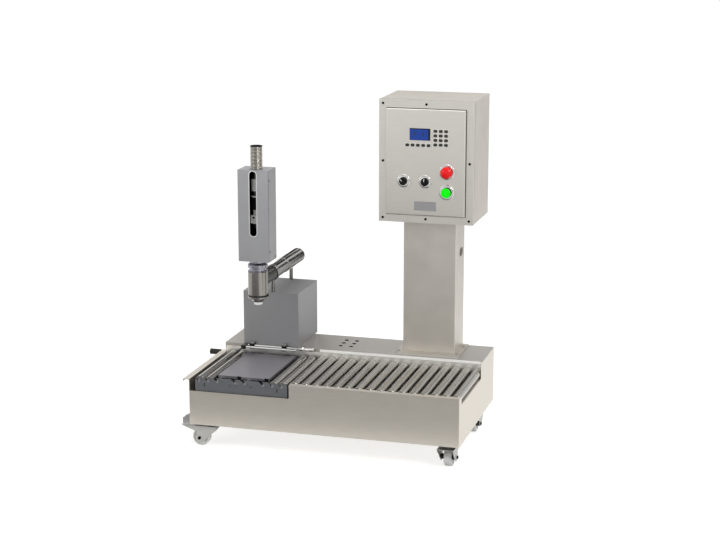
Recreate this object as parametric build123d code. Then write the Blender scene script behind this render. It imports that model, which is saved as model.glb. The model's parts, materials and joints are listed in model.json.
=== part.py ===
from build123d import *
import os

# Single nozzle filling machine: a castored tray with a roller lane and a weighing section, a filling
# head over the weighing plate, and a control box on a column. Millimetres.
# The model is drawn with x from the tray's left end, y from its front face and z from its underside.
# The last lines move it so that its origin is the middle of its footprint, on the floor.

os.makedirs("parts", exist_ok=True)

# Fits between pieces
running_gap = 0.05
bolt_gap = 0.2
seat_gap = 0.3
roller_end_gap = 3.0

# Tray and deck
tray_length = 1250.0
tray_width = 745.0
sheet = 2.0
corner_radius = 3.0
scale_length = 474.0
low_front_height = 158.0
front_height = 221.0
left_end_height = 211.0
deck_height = 258.0
lane_width = 483.0
deck_lip = 15.0
front_flange = 30.0
left_flange = 28.0
left_flange_lip = 8.0
notch_height = 185.0
notch_front = 40.0
notch_rear = 450.0
notch_flange = 20.0
cable_hole_radius = 7.0
cable_hole_pitch = 51.0
cable_hole_x = 548.0
cable_hole_y = 568.0
stub_radius = 13.5
stub_wall = 2.0
stub_reach = 85.0
stub_inside = 40.0
stub_y = 506.0
stub_z = 200.0

# Frame under the tray
frame_tube = 30.0
frame_wall = 2.0
frame_middle_gap = 26.0
frame_scale_rear_y = 420.0
rail_sheet = 3.0

# Castors
castor_height = 110.0
castor_front_y = 56.0
castor_rear_y = 600.0
castor_inset_x = 60.0
castor_trail = 22.0
castor_pad_length = 96.0
castor_pad_width = 76.0
castor_pad_thickness = 4.0
wheel_radius = 40.0
wheel_width = 37.0
wheel_edge = 4.0
wheel_hub_radius = 12.0
castor_axle_radius = 4.0
castor_nut_radius = 7.0
castor_nut_length = 5.0
kingpin_radius = 6.0
race_radius = 26.0
race_height = 8.0
fork_sheet = 3.0
fork_top_width = 76.0
fork_low_width = 70.0
fork_shoulder = 10.0
fork_waist = 28.0
fork_below_axle = 14.0
fork_short_reach = 66.0
fork_long_reach = 108.0
fork_nose_reach = 62.0
fork_nose_drop = 19.0
fork_cheek_ahead = 14.0
fork_cheek_behind = 18.0
bracket_reach = 36.0
bracket_depth = 34.0
bracket_height = 44.0
bracket_low_height = 26.0
bracket_sheet = 3.0
bracket_front_y = 8.0

# Rollers
roller_radius = 19.0
roller_wall = 1.5
roller_cap = 10.0
axle_radius = 6.0
axle_height = 207.0
roller_side_gap = 1.0
lane_pitch = 49.5
last_roller_gap = 22.5
scale_pitch = 43.5
scale_place_count = 10
scale_roller_numbers = (0, 1, 8, 9)
scale_bar_numbers = (2, 4, 5, 7)

# Weighing section
scale_frame_left = 28.0
scale_frame_end_gap = 10.0
scale_centre_shift = -2.0
scale_frame_front = 8.0
scale_frame_depth = 463.0
scale_frame_top = 222.0
scale_frame_sheet = 3.0
scale_bar_size = 30.0
scale_bar_offset = 84.0
axle_end_reach = 3.0
plate_length = 242.0
plate_front = 52.0
plate_rear = 440.0
plate_sheet = 3.0
plate_notch = 20.0
plate_notch_depth = 8.0
adjust_slot_height = 17.0
adjust_slot_width = 4.0
adjust_slot_z = 188.0
adjust_slot_offset = 172.0
lock_hole_radius = 2.5
lock_hole_z = 193.5
lock_hole_offset = 50.0
cell_length = 110.0
cell_height = 24.0
cell_foot_height = 6.0
cell_seat_height = 12.0

# Container stop
stop_rod_radius = 6.0
stop_rod_y = 472.0
stop_rod_z = 254.0
stop_block_left = 96.0
stop_block_length = 22.0
stop_block_height = 18.0
stop_grip_left = 376.0
stop_grip_length = 70.0
stop_grip_radius = 9.0
guide_rod_radius = 5.5
guide_rod_y = 440.0
guide_rod_end = 367.0
stop_arm_radius = 4.0
stop_arm_length = 213.0
clamp_places = (140.0, 300.0)
clamp_length = 24.0
clamp_front = 462.0
clamp_bottom = 240.0
clamp_top = 264.0
knob_stud_radius = 3.0
knob_hub_radius = 6.5
knob_hub_height = 7.0
knob_wing_length = 21.0
knob_wing_thickness = 3.0
knob_wing_height = 11.0

# Filling head: heights stacked from the nozzle's lower end up to the housing
nozzle_y = 266.0
tip_bottom = 511.5
tip_height = 14.5
tip_radius = 19.5
tip_bore = 9.0
tip_flange_radius = 22.0
tip_flange_height = 4.0
tip_collar_radius = 16.0
tip_collar_height = 22.0
seat_width = 5.0
outlet_height = 14.5
outlet_low_radius = 26.0
outlet_high_radius = 36.0
low_ring_height = 7.5
low_ring_radius = 46.0
groove_height = 8.0
groove_radius = 43.5
valve_radius = 45.5
valve_height = 113.0
valve_wall = 8.0
valve_floor_thickness = 8.0
valve_roof_thickness = 13.0
undercut_radius = 38.0
undercut_height = 14.0
disc_radius = 46.0
disc_height = 14.0
disc_dome_height = 8.0
disc_dome_radius = 36.0
neck_radius = 33.0
neck_height = 12.5
clamp_lug_reach = 4.5
clamp_lug_width = 8.0
clamp_lug_height = 12.0

# Head housing, and the parts in it measured down from its top
housing_height = 420.0
housing_width = 144.0
housing_depth = 110.0
housing_wall = 4.0
window_width = 32.0
window_bottom_gap = 118.5
window_top_gap = 5.5
stem_radius = 8.0
plug_radius = 13.0
plug_height = 20.0
valve_travel = 25.0
stem_nut_height = 23.0
stem_nut_radius = 22.0
clevis_height = 37.0
clevis_size = 46.0
clevis_hole_rise = 26.0
clevis_hole_shift = -9.0
clevis_hole_radius = 5.0
clevis_top_gap = 2.0
piston_rod_radius = 18.0
piston_rod_length = 87.0
gland_radius = 30.0
gland_height = 55.0
spacer_radius = 22.0
spacer_height = 7.0
lock_nut_height = 21.0
lock_nut_radius = 28.0
sleeve_radius = 25.0
sleeve_height = 57.0
collar_height = 40.5
barrel_radius = 28.0
barrel_height = 103.5
barrel_rib_pitch = 4.5
barrel_rib_depth = 1.0
barrel_bore = 22.0
barrel_bore_depth = 40.0

# Inlet pipe
pipe_radius = 34.0
pipe_wall = 2.0
spigot_wall = 3.0
pipe_start = 336.0
pipe_end = 860.0
pipe_rise = 4.0
post_radius = 9.0
post_shift = -6.0
post_places = (494.0, 770.0)
pipe_sleeves = ((448.0, 14.0, 38.0), (470.0, 14.0, 36.5), (620.0, 113.0, 36.0), (736.0, 124.0, 35.0))

# Equipment box
box_left = 93.0
box_length = 273.0
box_front = 484.0
box_depth = 300.0
box_height = 259.0
box_return = 20.0

# Column
column_width = 247.0
column_depth = 180.0
column_right_gap = 150.0
column_front = 563.0
column_wall = 3.0
column_base_sheet = 6.0
column_base_side = 28.0
column_base_front = 60.0
column_base_chamfer = 20.0
column_bolt_radius = 4.0
column_bolt_head_radius = 7.0
column_bolt_head_height = 5.0
column_bolt_side = 16.0
column_bolt_ahead = 22.0
column_bolt_rear_y = 690.0

# Control box
enclosure_width = 438.0
enclosure_depth = 331.0
enclosure_front = 476.0
enclosure_bottom = 889.5
enclosure_height = 558.5
enclosure_wall = 4.0
cover_depth = 20.0
cover_skin = 8.0
cover_rim = 30.0
panel_width = 366.0
panel_height = 483.0
panel_bottom_gap = 36.5
panel_raise = 14.0
panel_edge_radius = 5.0
screw_inset = 18.5
screw_radius = 3.0
screw_head_radius = 5.5
screw_head_height = 3.0
screw_length = 14.0

# Controls, each placed from the control box's middle line and underside
display_x = -25.5
display_z = 406.5
display_width = 94.5
display_height = 54.0
display_raise = 3.0
display_rim = 4.0
key_width = 17.0
key_height = 13.0
key_raise = 3.0
key_mat = 1.0
key_pitch_x = 24.5
key_pitch_z = 20.5
number_keys_x = 70.5
number_keys_z = 393.0
function_keys_x = -34.0
function_keys_z = 357.5
bezel_thickness = 6.0
button_bezel_radius = 35.0
selector_bezel_radius = 30.0
stop_button_x = 101.0
stop_button_z = 240.2
stop_button_radius = 27.0
stop_button_depth = 22.0
start_button_x = 100.0
start_button_z = 148.5
start_button_radius = 23.5
start_button_depth = 14.0
button_stem_radius = 11.0
button_rest_gap = 6.0
button_stem_reach = 8.0
left_selector_x = -99.4
right_selector_x = 0.4
selector_z = 192.8
selector_radius = 18.5
selector_depth = 12.0
selector_grip_depth = 9.0
selector_grip_width = 9.0
selector_stem_radius = 8.0


# Shapes that repeat
def block(x, y, z):
    """A box whose sides run between the two values of x, of y and of z."""
    middle = Pos(sum(x) / 2, sum(y) / 2, sum(z) / 2)
    return middle * Box(x[1] - x[0], y[1] - y[0], z[1] - z[0])


def bar(start, end, radius):
    """A round bar between two points."""
    run = Vector(end) - Vector(start)
    return extrude(Plane(origin=start, z_dir=run) * Circle(radius), run.length)


def turned(place, outline):
    """A turned piece: the outline's points are radius and height about the Z axis of its place."""
    face = make_face(Polyline(*[(radius, 0, height) for radius, height in outline], close=True))
    return place * revolve(face, Axis.Z)


def slab(points, run):
    """A flat piece: an outline of points in space, given its thickness by the vector run."""
    return extrude(make_face(Polyline(*points, close=True)), amount=Vector(run).length, dir=run)


def group(*pieces):
    """Separate solids kept together as one node."""
    return Compound([solid for piece in pieces for solid in piece.solids()])


# Places worked out from the sizes above
deck_underside = deck_height - sheet
frame_top = sheet + frame_tube
front_rail_y = front_flange - rail_sheet
rear_rail_y = lane_width + sheet
scale_frame_right = scale_length - scale_frame_end_gap
scale_frame_rear = scale_frame_front + scale_frame_depth
scale_centre_x = (scale_frame_left + scale_frame_right) / 2 + scale_centre_shift
scale_plate_low = frame_top + cell_foot_height + cell_height + cell_seat_height
last_roller_x = tray_length - last_roller_gap
lane_room = last_roller_x - roller_radius - roller_side_gap - scale_frame_right
lane_roller_x = [last_roller_x - lane_pitch * k for k in reversed(range(1 + int(lane_room / lane_pitch)))]
first_place_x = scale_centre_x - scale_pitch * (scale_place_count - 1) / 2
scale_roller_x = [first_place_x + scale_pitch * k for k in scale_roller_numbers]
scale_bar_x = [first_place_x + scale_pitch * k for k in scale_bar_numbers]
frame_middle_x = scale_length + frame_middle_gap
castor_right_x = tray_length - castor_inset_x
nozzle_x = scale_centre_x
tip_top = tip_bottom + tip_height
outlet_bottom = tip_top + tip_flange_height
seat_top = outlet_bottom + tip_collar_height
low_ring_bottom = outlet_bottom + outlet_height
low_ring_top = low_ring_bottom + low_ring_height
valve_bottom = low_ring_top + groove_height
valve_top = valve_bottom + valve_height
valve_floor = valve_bottom + valve_floor_thickness
valve_roof = valve_top - valve_roof_thickness
pipe_z = (valve_floor + valve_roof) / 2 + pipe_rise
disc_bottom = valve_top + undercut_height
disc_top = disc_bottom + disc_height
housing_bottom = disc_top + disc_dome_height + neck_height
housing_top = housing_bottom + housing_height
housing_front = nozzle_y - housing_depth / 2
actuator_shoulder = housing_top - housing_wall
sleeve_top = actuator_shoulder - collar_height
lock_nut_top = sleeve_top - sleeve_height
lock_nut_bottom = lock_nut_top - lock_nut_height
gland_top = lock_nut_bottom - spacer_height
actuator_bottom = gland_top - gland_height
clevis_top = actuator_bottom - valve_travel - clevis_top_gap
clevis_bottom = clevis_top - clevis_height
piston_rod_top = clevis_top + piston_rod_length
barrel_top = housing_top + barrel_height
column_left = tray_length - column_right_gap - column_width
column_middle_x = column_left + column_width / 2
column_bottom = deck_height + column_base_sheet
enclosure_left = column_middle_x - enclosure_width / 2
enclosure_top = enclosure_bottom + enclosure_height
cover_back = enclosure_front + cover_depth
panel_front = enclosure_front - panel_raise
bezel_front = panel_front - bezel_thickness
box_top = deck_height + box_height


# Tray: a rounded box of sheet with a closed pan, cut down along the front and both ends
def base_tray():
    middle = Pos(tray_length / 2, tray_width / 2, 0)
    outside = extrude(middle * RectangleRounded(tray_length, tray_width, corner_radius), deck_underside)
    hollow = RectangleRounded(tray_length - 2 * sheet, tray_width - 2 * sheet, corner_radius - sheet / 2)
    tray = outside - Pos(0, 0, sheet) * extrude(middle * hollow, deck_height)
    above = deck_height + sheet
    tray -= block((-sheet, scale_length), (-sheet, lane_width), (left_end_height, above))
    tray -= block((scale_length, tray_length + sheet), (-sheet, notch_rear), (front_height, above))
    tray -= block((sheet, scale_length), (-sheet, corner_radius), (low_front_height, above))
    right_end = (tray_length - 2 * sheet, tray_length + sheet)
    tray -= block(right_end, (notch_front, notch_rear), (notch_height, above))
    # Folded flanges: along the left end, inside the lane's front wall, at its step and in the notch
    tray += block((-left_flange, 0), (0, lane_width), (left_end_height - sheet, left_end_height))
    lip_low = left_end_height - sheet - left_flange_lip
    tray += block((-left_flange, sheet - left_flange), (0, lane_width), (lip_low, left_end_height - sheet))
    inner_end = tray_length - sheet
    tray += block((scale_length, inner_end), (sheet, front_flange), (front_height - sheet, front_height))
    step = (scale_length, scale_length + sheet)
    tray += block(step, (sheet, front_rail_y), (low_front_height, front_height - sheet))
    notch = (notch_front, notch_rear)
    tray += block((tray_length - notch_flange, inner_end), notch, (notch_height - sheet, notch_height))
    # Tube stub set through the left end
    start = (-stub_reach, stub_y, stub_z)
    end = (stub_inside, stub_y, stub_z)
    stub = bar(start, end, stub_radius)
    return group(tray - stub, stub - bar(start, end, stub_radius - stub_wall))


# Deck behind the lane, with a folded front lip, cable holes and the column's bolt holes
def deck_plate():
    deck = block((0, tray_length), (lane_width, tray_width), (deck_underside, deck_height))
    lip = (deck_height - deck_lip, deck_underside)
    deck += block((sheet, tray_length - sheet), (lane_width, lane_width + sheet), lip)
    for column in range(2):
        for row in range(3):
            x = cable_hole_x + column * cable_hole_pitch
            y = cable_hole_y + row * cable_hole_pitch
            deck -= bar((x, y, deck_underside - sheet), (x, y, deck_height + sheet), cable_hole_radius)
    for x, y in column_bolt_places():
        hole = column_bolt_radius + bolt_gap
        deck -= bar((x, y, deck_underside - sheet), (x, y, deck_height + sheet), hole)
    return deck


# Frame: square tubes on the pan, with the two sheet rails that hold the roller axles
def square_tube(start, end, y, along_x):
    """A square tube on the pan between start and end, at the place y across its run."""
    half = frame_tube / 2
    inner = half - frame_wall
    low, high = sheet, frame_top
    outside = block((start, end), (y - half, y + half), (low, high))
    outside -= block((start, end), (y - inner, y + inner), (low + frame_wall, high - frame_wall))
    if along_x:
        return outside
    return mirror(outside, Plane(origin=(0, 0, 0), z_dir=(1, -1, 0)))


def rail(left, right, y, top, axle_places):
    """A sheet rail standing on the frame with a hole for each axle."""
    sheet_rail = block((left, right), (y, y + rail_sheet), (frame_top, top))
    for x in axle_places:
        hole = axle_radius + bolt_gap
        sheet_rail -= bar((x, y - sheet, axle_height), (x, y + rail_sheet + sheet, axle_height), hole)
    return sheet_rail


def base_frame():
    half = frame_tube / 2
    cross_places = [castor_inset_x, frame_middle_x, castor_right_x]
    tubes = [square_tube(sheet, tray_width - sheet, x, False) for x in cross_places]
    for left, right in zip(cross_places, cross_places[1:]):
        for y in (castor_front_y, frame_scale_rear_y, castor_rear_y):
            tubes.append(square_tube(left + half, right - half, y, True))
    inner_end = tray_length - sheet
    front = rail(scale_length + sheet, inner_end, front_rail_y, front_height - sheet, lane_roller_x)
    rear = rail(sheet, inner_end, rear_rail_y, deck_underside, lane_roller_x)
    return group(*tubes, front, rear)


# Axles and bars: the lane's stand in the two rails, the scale's lie in the side plates' slots
def roller_axles():
    height = axle_height
    lane_ends = (front_rail_y - sheet / 2, rear_rail_y + rail_sheet + sheet / 2)
    scale_ends = (scale_frame_front - axle_end_reach, scale_frame_rear + axle_end_reach)
    axles = [bar((x, lane_ends[0], height), (x, lane_ends[1], height), axle_radius) for x in lane_roller_x]
    for x in scale_roller_x + scale_bar_x:
        axles.append(bar((x, scale_ends[0], height), (x, scale_ends[1], height), axle_radius))
    return group(*axles)


# Roller: a thin tube closed by two bearing caps that run on the axle
def roller(x, front, rear):
    length = rear - front
    bore = axle_radius + running_gap
    inside = roller_radius - roller_wall
    outline = [(bore, 0), (roller_radius, 0), (roller_radius, length), (bore, length)]
    outline += [(bore, length - roller_cap), (inside, length - roller_cap)]
    outline += [(inside, roller_cap), (bore, roller_cap)]
    return turned(Pos(x, front, axle_height) * Rot(-90, 0, 0), outline)


# Weighing frame: two side plates with slanted drop-in slots, joined by two cross bars
def scale_side_plate(front):
    plate = block(
        (scale_frame_left, scale_frame_right),
        (front, front + scale_frame_sheet),
        (scale_plate_low, scale_frame_top),
    )
    width = 2 * (axle_radius + bolt_gap)
    length = 2 * (scale_frame_top - axle_height) + width
    for x in scale_roller_x + scale_bar_x:
        slot = Pos(0, 0, length / 2) * Box(width, 3 * scale_frame_sheet, length)
        seat = Pos(x, front + scale_frame_sheet / 2, axle_height)
        plate -= seat * Rot(0, -45, 0) * slot
        plate -= seat * Rot(90, 0, 0) * Cylinder(width / 2, 3 * scale_frame_sheet)
    return plate


def scale_frame():
    front = scale_side_plate(scale_frame_front)
    through = (scale_frame_front - sheet, scale_frame_front + scale_frame_sheet + sheet)
    for side in (-1, 1):
        x = scale_centre_x + side * adjust_slot_offset
        width = (x - adjust_slot_width / 2, x + adjust_slot_width / 2)
        height = (adjust_slot_z - adjust_slot_height / 2, adjust_slot_z + adjust_slot_height / 2)
        front -= block(width, through, height)
        x = scale_centre_x + side * lock_hole_offset
        front -= bar((x, through[0], lock_hole_z), (x, through[1], lock_hole_z), lock_hole_radius)
    frame = front + scale_side_plate(scale_frame_rear - scale_frame_sheet)
    depth = (scale_frame_front + scale_frame_sheet, scale_frame_rear - scale_frame_sheet)
    for side in (-1, 1):
        x = scale_centre_x + side * scale_bar_offset
        width = (x - scale_bar_size / 2, x + scale_bar_size / 2)
        frame += block(width, depth, (scale_plate_low, scale_plate_low + scale_bar_size))
    return frame


# Weighing plate: a folded lid that lies on the four bare bars, notched along its front edge
def scale_plate():
    half = plate_length / 2
    top = axle_height + roller_radius
    width = (scale_centre_x - half, scale_centre_x + half)
    inner = (width[0] + plate_sheet, width[1] - plate_sheet)
    plate = block(width, (plate_front, plate_rear), (axle_height + axle_radius, top))
    depth = (plate_front + plate_sheet, plate_rear - plate_sheet)
    plate -= block(inner, depth, (axle_height, top - plate_sheet))
    notch_depth = (plate_front - sheet, plate_front + plate_notch_depth)
    for x in (scale_bar_x[1], scale_bar_x[3]):
        notch = (x - plate_notch / 2, x + plate_notch / 2)
        plate -= block(notch, notch_depth, (axle_height, top + sheet))
    return plate


# Load cells: each bar is bolted down at its outer end and carries a cross bar at its inner end
def load_cells():
    cells = []
    for side in (-1, 1):
        inner = scale_centre_x + side * (scale_bar_offset - scale_bar_size / 2)
        outer = inner + side * cell_length
        for y in (castor_front_y, frame_scale_rear_y):
            depth = (y - frame_tube / 2, y + frame_tube / 2)
            foot = sorted((outer, outer - side * scale_bar_size))
            seat = sorted((inner, inner + side * scale_bar_size))
            low = frame_top + cell_foot_height
            cell = block(foot, depth, (frame_top, low))
            cell += block(sorted((inner, outer)), depth, (low, low + cell_height))
            cell += block(seat, depth, (low + cell_height, low + cell_height + cell_seat_height))
            cells.append(cell)
    return group(*cells)


# Clamp blocks of the container stop, screwed to the deck's lip
def stop_clamps():
    clamps = []
    for x in clamp_places:
        width = (x - clamp_length / 2, x + clamp_length / 2)
        clamp = block(width, (clamp_front, lane_width), (clamp_bottom, clamp_top))
        bore = stop_rod_radius + running_gap
        clamp -= bar((width[0], stop_rod_y, stop_rod_z), (width[1], stop_rod_y, stop_rod_z), bore)
        clamp -= bar((x, stop_rod_y, stop_rod_z), (x, stop_rod_y, clamp_top), knob_stud_radius + running_gap)
        clamps.append(clamp)
    return group(*clamps)


# Container stop: the rod that slides in the clamps carries a block, a guide rod and a stop arm
def container_stop():
    left, right = stop_block_left, stop_block_left + stop_block_length
    half = stop_block_height / 2
    height = (stop_rod_z - half, stop_rod_z + half)
    cross = block((left, right), (guide_rod_y - half, stop_rod_y + half), height)
    grip_start = (stop_grip_left, stop_rod_y, stop_rod_z)
    grip_end = (stop_grip_left + stop_grip_length, stop_rod_y, stop_rod_z)
    slide_rod = bar((right, stop_rod_y, stop_rod_z), grip_start, stop_rod_radius)
    grip = bar(grip_start, grip_end, stop_grip_radius)
    guide_end = (guide_rod_end, guide_rod_y, stop_rod_z)
    guide_rod = bar((right, guide_rod_y, stop_rod_z), guide_end, guide_rod_radius)
    arm_start = ((left + right) / 2, guide_rod_y - half, stop_rod_z)
    arm_end = (arm_start[0], arm_start[1] - stop_arm_length, stop_rod_z)
    arm = bar(arm_start, arm_end, stop_arm_radius)
    return group(cross, slide_rod, grip, guide_rod, arm)


# Thumb screw of a clamp: stud, hub and two wings
def stop_knob(x):
    low = stop_rod_z + stop_rod_radius + seat_gap
    hub_low = clamp_top + seat_gap
    hub_high = hub_low + knob_hub_height
    outline = [(0, low), (knob_stud_radius, low), (knob_stud_radius, hub_low), (knob_hub_radius, hub_low)]
    outline += [(knob_hub_radius, hub_high), (0, hub_high)]
    knob = turned(Pos(x, stop_rod_y, 0), outline)
    half = knob_wing_length / 2
    inner = knob_hub_radius / 2
    depth = (stop_rod_y - knob_wing_thickness / 2, stop_rod_y + knob_wing_thickness / 2)
    for side in (-1, 1):
        wing = [
            (x + side * inner, depth[0], hub_low),
            (x + side * half * 0.8, depth[0], hub_low + knob_hub_height / 2),
            (x + side * half, depth[0], hub_low + knob_wing_height),
            (x + side * half * 0.6, depth[0], hub_low + knob_wing_height),
            (x + side * inner, depth[0], hub_high),
        ]
        knob += slab(wing, (0, knob_wing_thickness, 0))
    return knob


# Castor pads under the tray
def castor_pads():
    pads = []
    half = castor_pad_length / 2
    for x, y in castor_places():
        depth = (y - castor_pad_width / 2, y + castor_pad_width / 2)
        pad = block((x - half, x + half), depth, (-castor_pad_thickness, 0))
        pads.append(pad - bar((x, y, -castor_pad_thickness), (x, y, 0), kingpin_radius + running_gap))
    return group(*pads)


# Corner bracket on the left end wall: a bent sheet with a sloped top edge and a web at each side
def corner_bracket():
    rear_y = bracket_front_y + bracket_depth
    bracket = block((-bracket_sheet, 0), (bracket_front_y, rear_y), (0, bracket_height))
    bracket += block((-bracket_reach, 0), (bracket_front_y, rear_y), (0, bracket_sheet))
    for y in (bracket_front_y, rear_y - bracket_sheet):
        web = [(0, y, 0), (-bracket_reach, y, 0)]
        web += [(-bracket_reach, y, bracket_low_height), (0, y, bracket_height)]
        bracket += slab(web, (0, bracket_sheet, 0))
    return bracket


def castor_places():
    """Swivel axes of the four castors: front left, front right, rear left, rear right."""
    return [(x, y) for y in (castor_front_y, castor_rear_y) for x in (castor_inset_x, castor_right_x)]


# Castor fork: a hat section bent from sheet, trimmed to a tapered side outline, with kingpin and axle
def castor_fork(x, y, heading):
    """The fork trails its wheel towards local +X, which heading turns about the swivel axis."""
    top = -castor_pad_thickness - seat_gap - race_height
    wheel_z = wheel_radius - castor_height
    bottom = wheel_z - fork_below_axle
    wide, narrow = fork_top_width / 2, fork_low_width / 2
    shoulder, waist = top - fork_shoulder, top - fork_waist
    outer = [(wide, top), (wide, shoulder), (narrow, waist), (narrow, bottom)]
    inner = [
        (narrow - fork_sheet, bottom),
        (narrow - fork_sheet, waist - fork_sheet / 3),
        (wide - fork_sheet, shoulder - fork_sheet / 3),
        (wide - fork_sheet, top - fork_sheet),
    ]
    half = outer + inner
    section = half + [(-across, height) for across, height in reversed(half)]
    points = [(-fork_short_reach, across, height) for across, height in section]
    hat = slab(points, (fork_short_reach + fork_long_reach, 0, 0))
    side = [
        (-fork_short_reach, top),
        (fork_long_reach, top),
        (fork_nose_reach, top - fork_nose_drop),
        (castor_trail + fork_cheek_ahead, waist),
        (castor_trail + fork_cheek_ahead - fork_sheet, wheel_z - castor_axle_radius),
        (castor_trail, bottom),
        (castor_trail - fork_cheek_behind, bottom),
        (-fork_short_reach / 2, wheel_z + fork_cheek_behind),
        (-fork_short_reach, top - fork_sheet),
    ]
    trim = slab([(along, -wide, height) for along, height in side], (0, fork_top_width, 0))
    fork = hat & trim
    axle_end = narrow + castor_nut_length
    fork += bar((castor_trail, -axle_end, wheel_z), (castor_trail, axle_end, wheel_z), castor_axle_radius)
    for sign in (-1, 1):
        start = (castor_trail, sign * narrow, wheel_z)
        fork += bar(start, (castor_trail, sign * axle_end, wheel_z), castor_nut_radius)
    race_top = top + race_height
    outline = [(0, top), (race_radius, top), (race_radius, race_top), (kingpin_radius, race_top)]
    outline += [(kingpin_radius, -seat_gap), (0, -seat_gap)]
    fork += turned(Pos(0, 0, 0), outline)
    return Pos(x, y, 0) * Rot(0, 0, heading) * fork


def castor_wheel(x, y, heading):
    """The wheel between the fork's cheeks, with a hub that runs on the axle."""
    half = wheel_width / 2
    hub = fork_low_width / 2 - fork_sheet - seat_gap
    bore = castor_axle_radius + running_gap
    tread = wheel_radius
    outline = [(bore, -hub), (wheel_hub_radius, -hub), (wheel_hub_radius, -half), (tread - wheel_edge, -half)]
    outline += [(tread, wheel_edge - half), (tread, half - wheel_edge), (tread - wheel_edge, half)]
    outline += [(wheel_hub_radius, half), (wheel_hub_radius, hub), (bore, hub)]
    wheel = turned(Pos(castor_trail, 0, wheel_radius - castor_height) * Rot(-90, 0, 0), outline)
    return Pos(x, y, 0) * Rot(0, 0, heading) * wheel


# Filling valve: outlet cone, ring, body, undercut, domed disc, neck and the spigot for the inlet pipe
def valve_body():
    cavity = valve_radius - valve_wall
    outline = [
        (tip_collar_radius + running_gap, outlet_bottom),
        (outlet_low_radius, outlet_bottom),
        (outlet_high_radius, low_ring_bottom),
        (low_ring_radius, low_ring_bottom),
        (low_ring_radius, low_ring_top),
        (groove_radius, low_ring_top),
        (groove_radius, valve_bottom),
        (valve_radius, valve_bottom),
        (valve_radius, valve_top),
        (undercut_radius, valve_top),
        (undercut_radius, disc_bottom),
        (disc_radius, disc_bottom),
        (disc_radius, disc_top),
        (disc_dome_radius, disc_top + disc_dome_height),
        (neck_radius, disc_top + disc_dome_height),
        (neck_radius, housing_bottom),
        (stem_radius + running_gap, housing_bottom),
        (stem_radius + running_gap, valve_roof),
        (cavity, valve_roof),
        (cavity, valve_floor),
        (tip_collar_radius + running_gap, valve_floor),
    ]
    body = turned(Pos(nozzle_x, nozzle_y, 0), outline)
    inside = (nozzle_x, nozzle_y + cavity - valve_wall, pipe_z)
    joint = (nozzle_x, pipe_start, pipe_z)
    spigot = bar(inside, joint, pipe_radius)
    spigot -= bar((nozzle_x, nozzle_y, valve_floor), (nozzle_x, nozzle_y, valve_roof), cavity)
    body += spigot
    # Lug of the clamp ring, on the side of the control box
    lug_width = (nozzle_x + cavity, nozzle_x + low_ring_radius + clamp_lug_reach)
    lug_depth = (nozzle_y - clamp_lug_width / 2, nozzle_y + clamp_lug_width / 2)
    body += block(lug_width, lug_depth, (low_ring_top, low_ring_top + clamp_lug_height))
    return body - bar((nozzle_x, nozzle_y, pipe_z), joint, pipe_radius - spigot_wall)


# White tip: a flanged sleeve pushed up into the outlet cone, with the conical seat at its top
def nozzle_tip():
    outline = [(tip_bore, tip_bottom), (tip_radius, tip_bottom), (tip_radius, tip_top)]
    outline += [(tip_flange_radius, tip_top), (tip_flange_radius, outlet_bottom)]
    outline += [(tip_collar_radius, outlet_bottom), (tip_collar_radius, seat_top)]
    outline += [(tip_bore + seat_width, seat_top), (tip_bore, seat_top - seat_width)]
    return turned(Pos(nozzle_x, nozzle_y, 0), outline)


# Stem: conical plug, rod through the neck, lock nut, fork with its pin hole, and the actuator's rod
def valve_stem():
    slope_gap = seat_gap * 2**0.5
    nose = seat_top - seat_width + 1
    widest = seat_top - seat_width + plug_radius - tip_bore + slope_gap
    plug_top = seat_top + plug_height
    outline = [(0, nose), (tip_bore + 1 - slope_gap, nose), (plug_radius, widest), (plug_radius, plug_top)]
    outline += [(stem_radius, plug_top), (stem_radius, clevis_bottom), (0, clevis_bottom)]
    stem = turned(Pos(nozzle_x, nozzle_y, 0), outline)
    nut = Pos(nozzle_x, nozzle_y, clevis_bottom - stem_nut_height) * RegularPolygon(stem_nut_radius, 6)
    stem += extrude(nut, stem_nut_height)
    half = clevis_size / 2
    width = (nozzle_x - half, nozzle_x + half)
    depth = (nozzle_y - half, nozzle_y + half)
    hole_x = nozzle_x + clevis_hole_shift
    hole_z = clevis_bottom + clevis_hole_rise
    clevis = block(width, depth, (clevis_bottom, clevis_top))
    stem += clevis - bar((hole_x, depth[0], hole_z), (hole_x, depth[1], hole_z), clevis_hole_radius)
    rod_end = (nozzle_x, nozzle_y, piston_rod_top)
    return stem + bar((nozzle_x, nozzle_y, clevis_top), rod_end, piston_rod_radius)


# Actuator: gland, lock nut, sleeve and collar behind the window, and the ribbed barrel on top
def actuator():
    bore = piston_rod_radius + running_gap
    bore_top = piston_rod_top + valve_travel + clevis_top_gap
    ribs = int(barrel_height / barrel_rib_pitch)
    root = barrel_radius - barrel_rib_depth
    outline = [
        (bore, actuator_bottom),
        (gland_radius, actuator_bottom),
        (gland_radius, gland_top),
        (spacer_radius, gland_top),
        (spacer_radius, lock_nut_bottom),
        (lock_nut_radius, lock_nut_bottom),
        (lock_nut_radius, lock_nut_top),
        (sleeve_radius, lock_nut_top),
        (sleeve_radius, sleeve_top),
        (gland_radius, sleeve_top),
        (gland_radius, actuator_shoulder),
        (barrel_radius, actuator_shoulder),
    ]
    for rib in range(ribs):
        low = barrel_top - (ribs - rib) * barrel_rib_pitch
        outline += [(barrel_radius, low), (root, low + barrel_rib_pitch / 2)]
    outline += [
        (barrel_radius, barrel_top),
        (barrel_bore, barrel_top),
        (barrel_bore, barrel_top - barrel_bore_depth),
        (0, barrel_top - barrel_bore_depth),
        (0, bore_top),
        (bore, bore_top),
    ]
    return turned(Pos(nozzle_x, nozzle_y, 0), outline)


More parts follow.
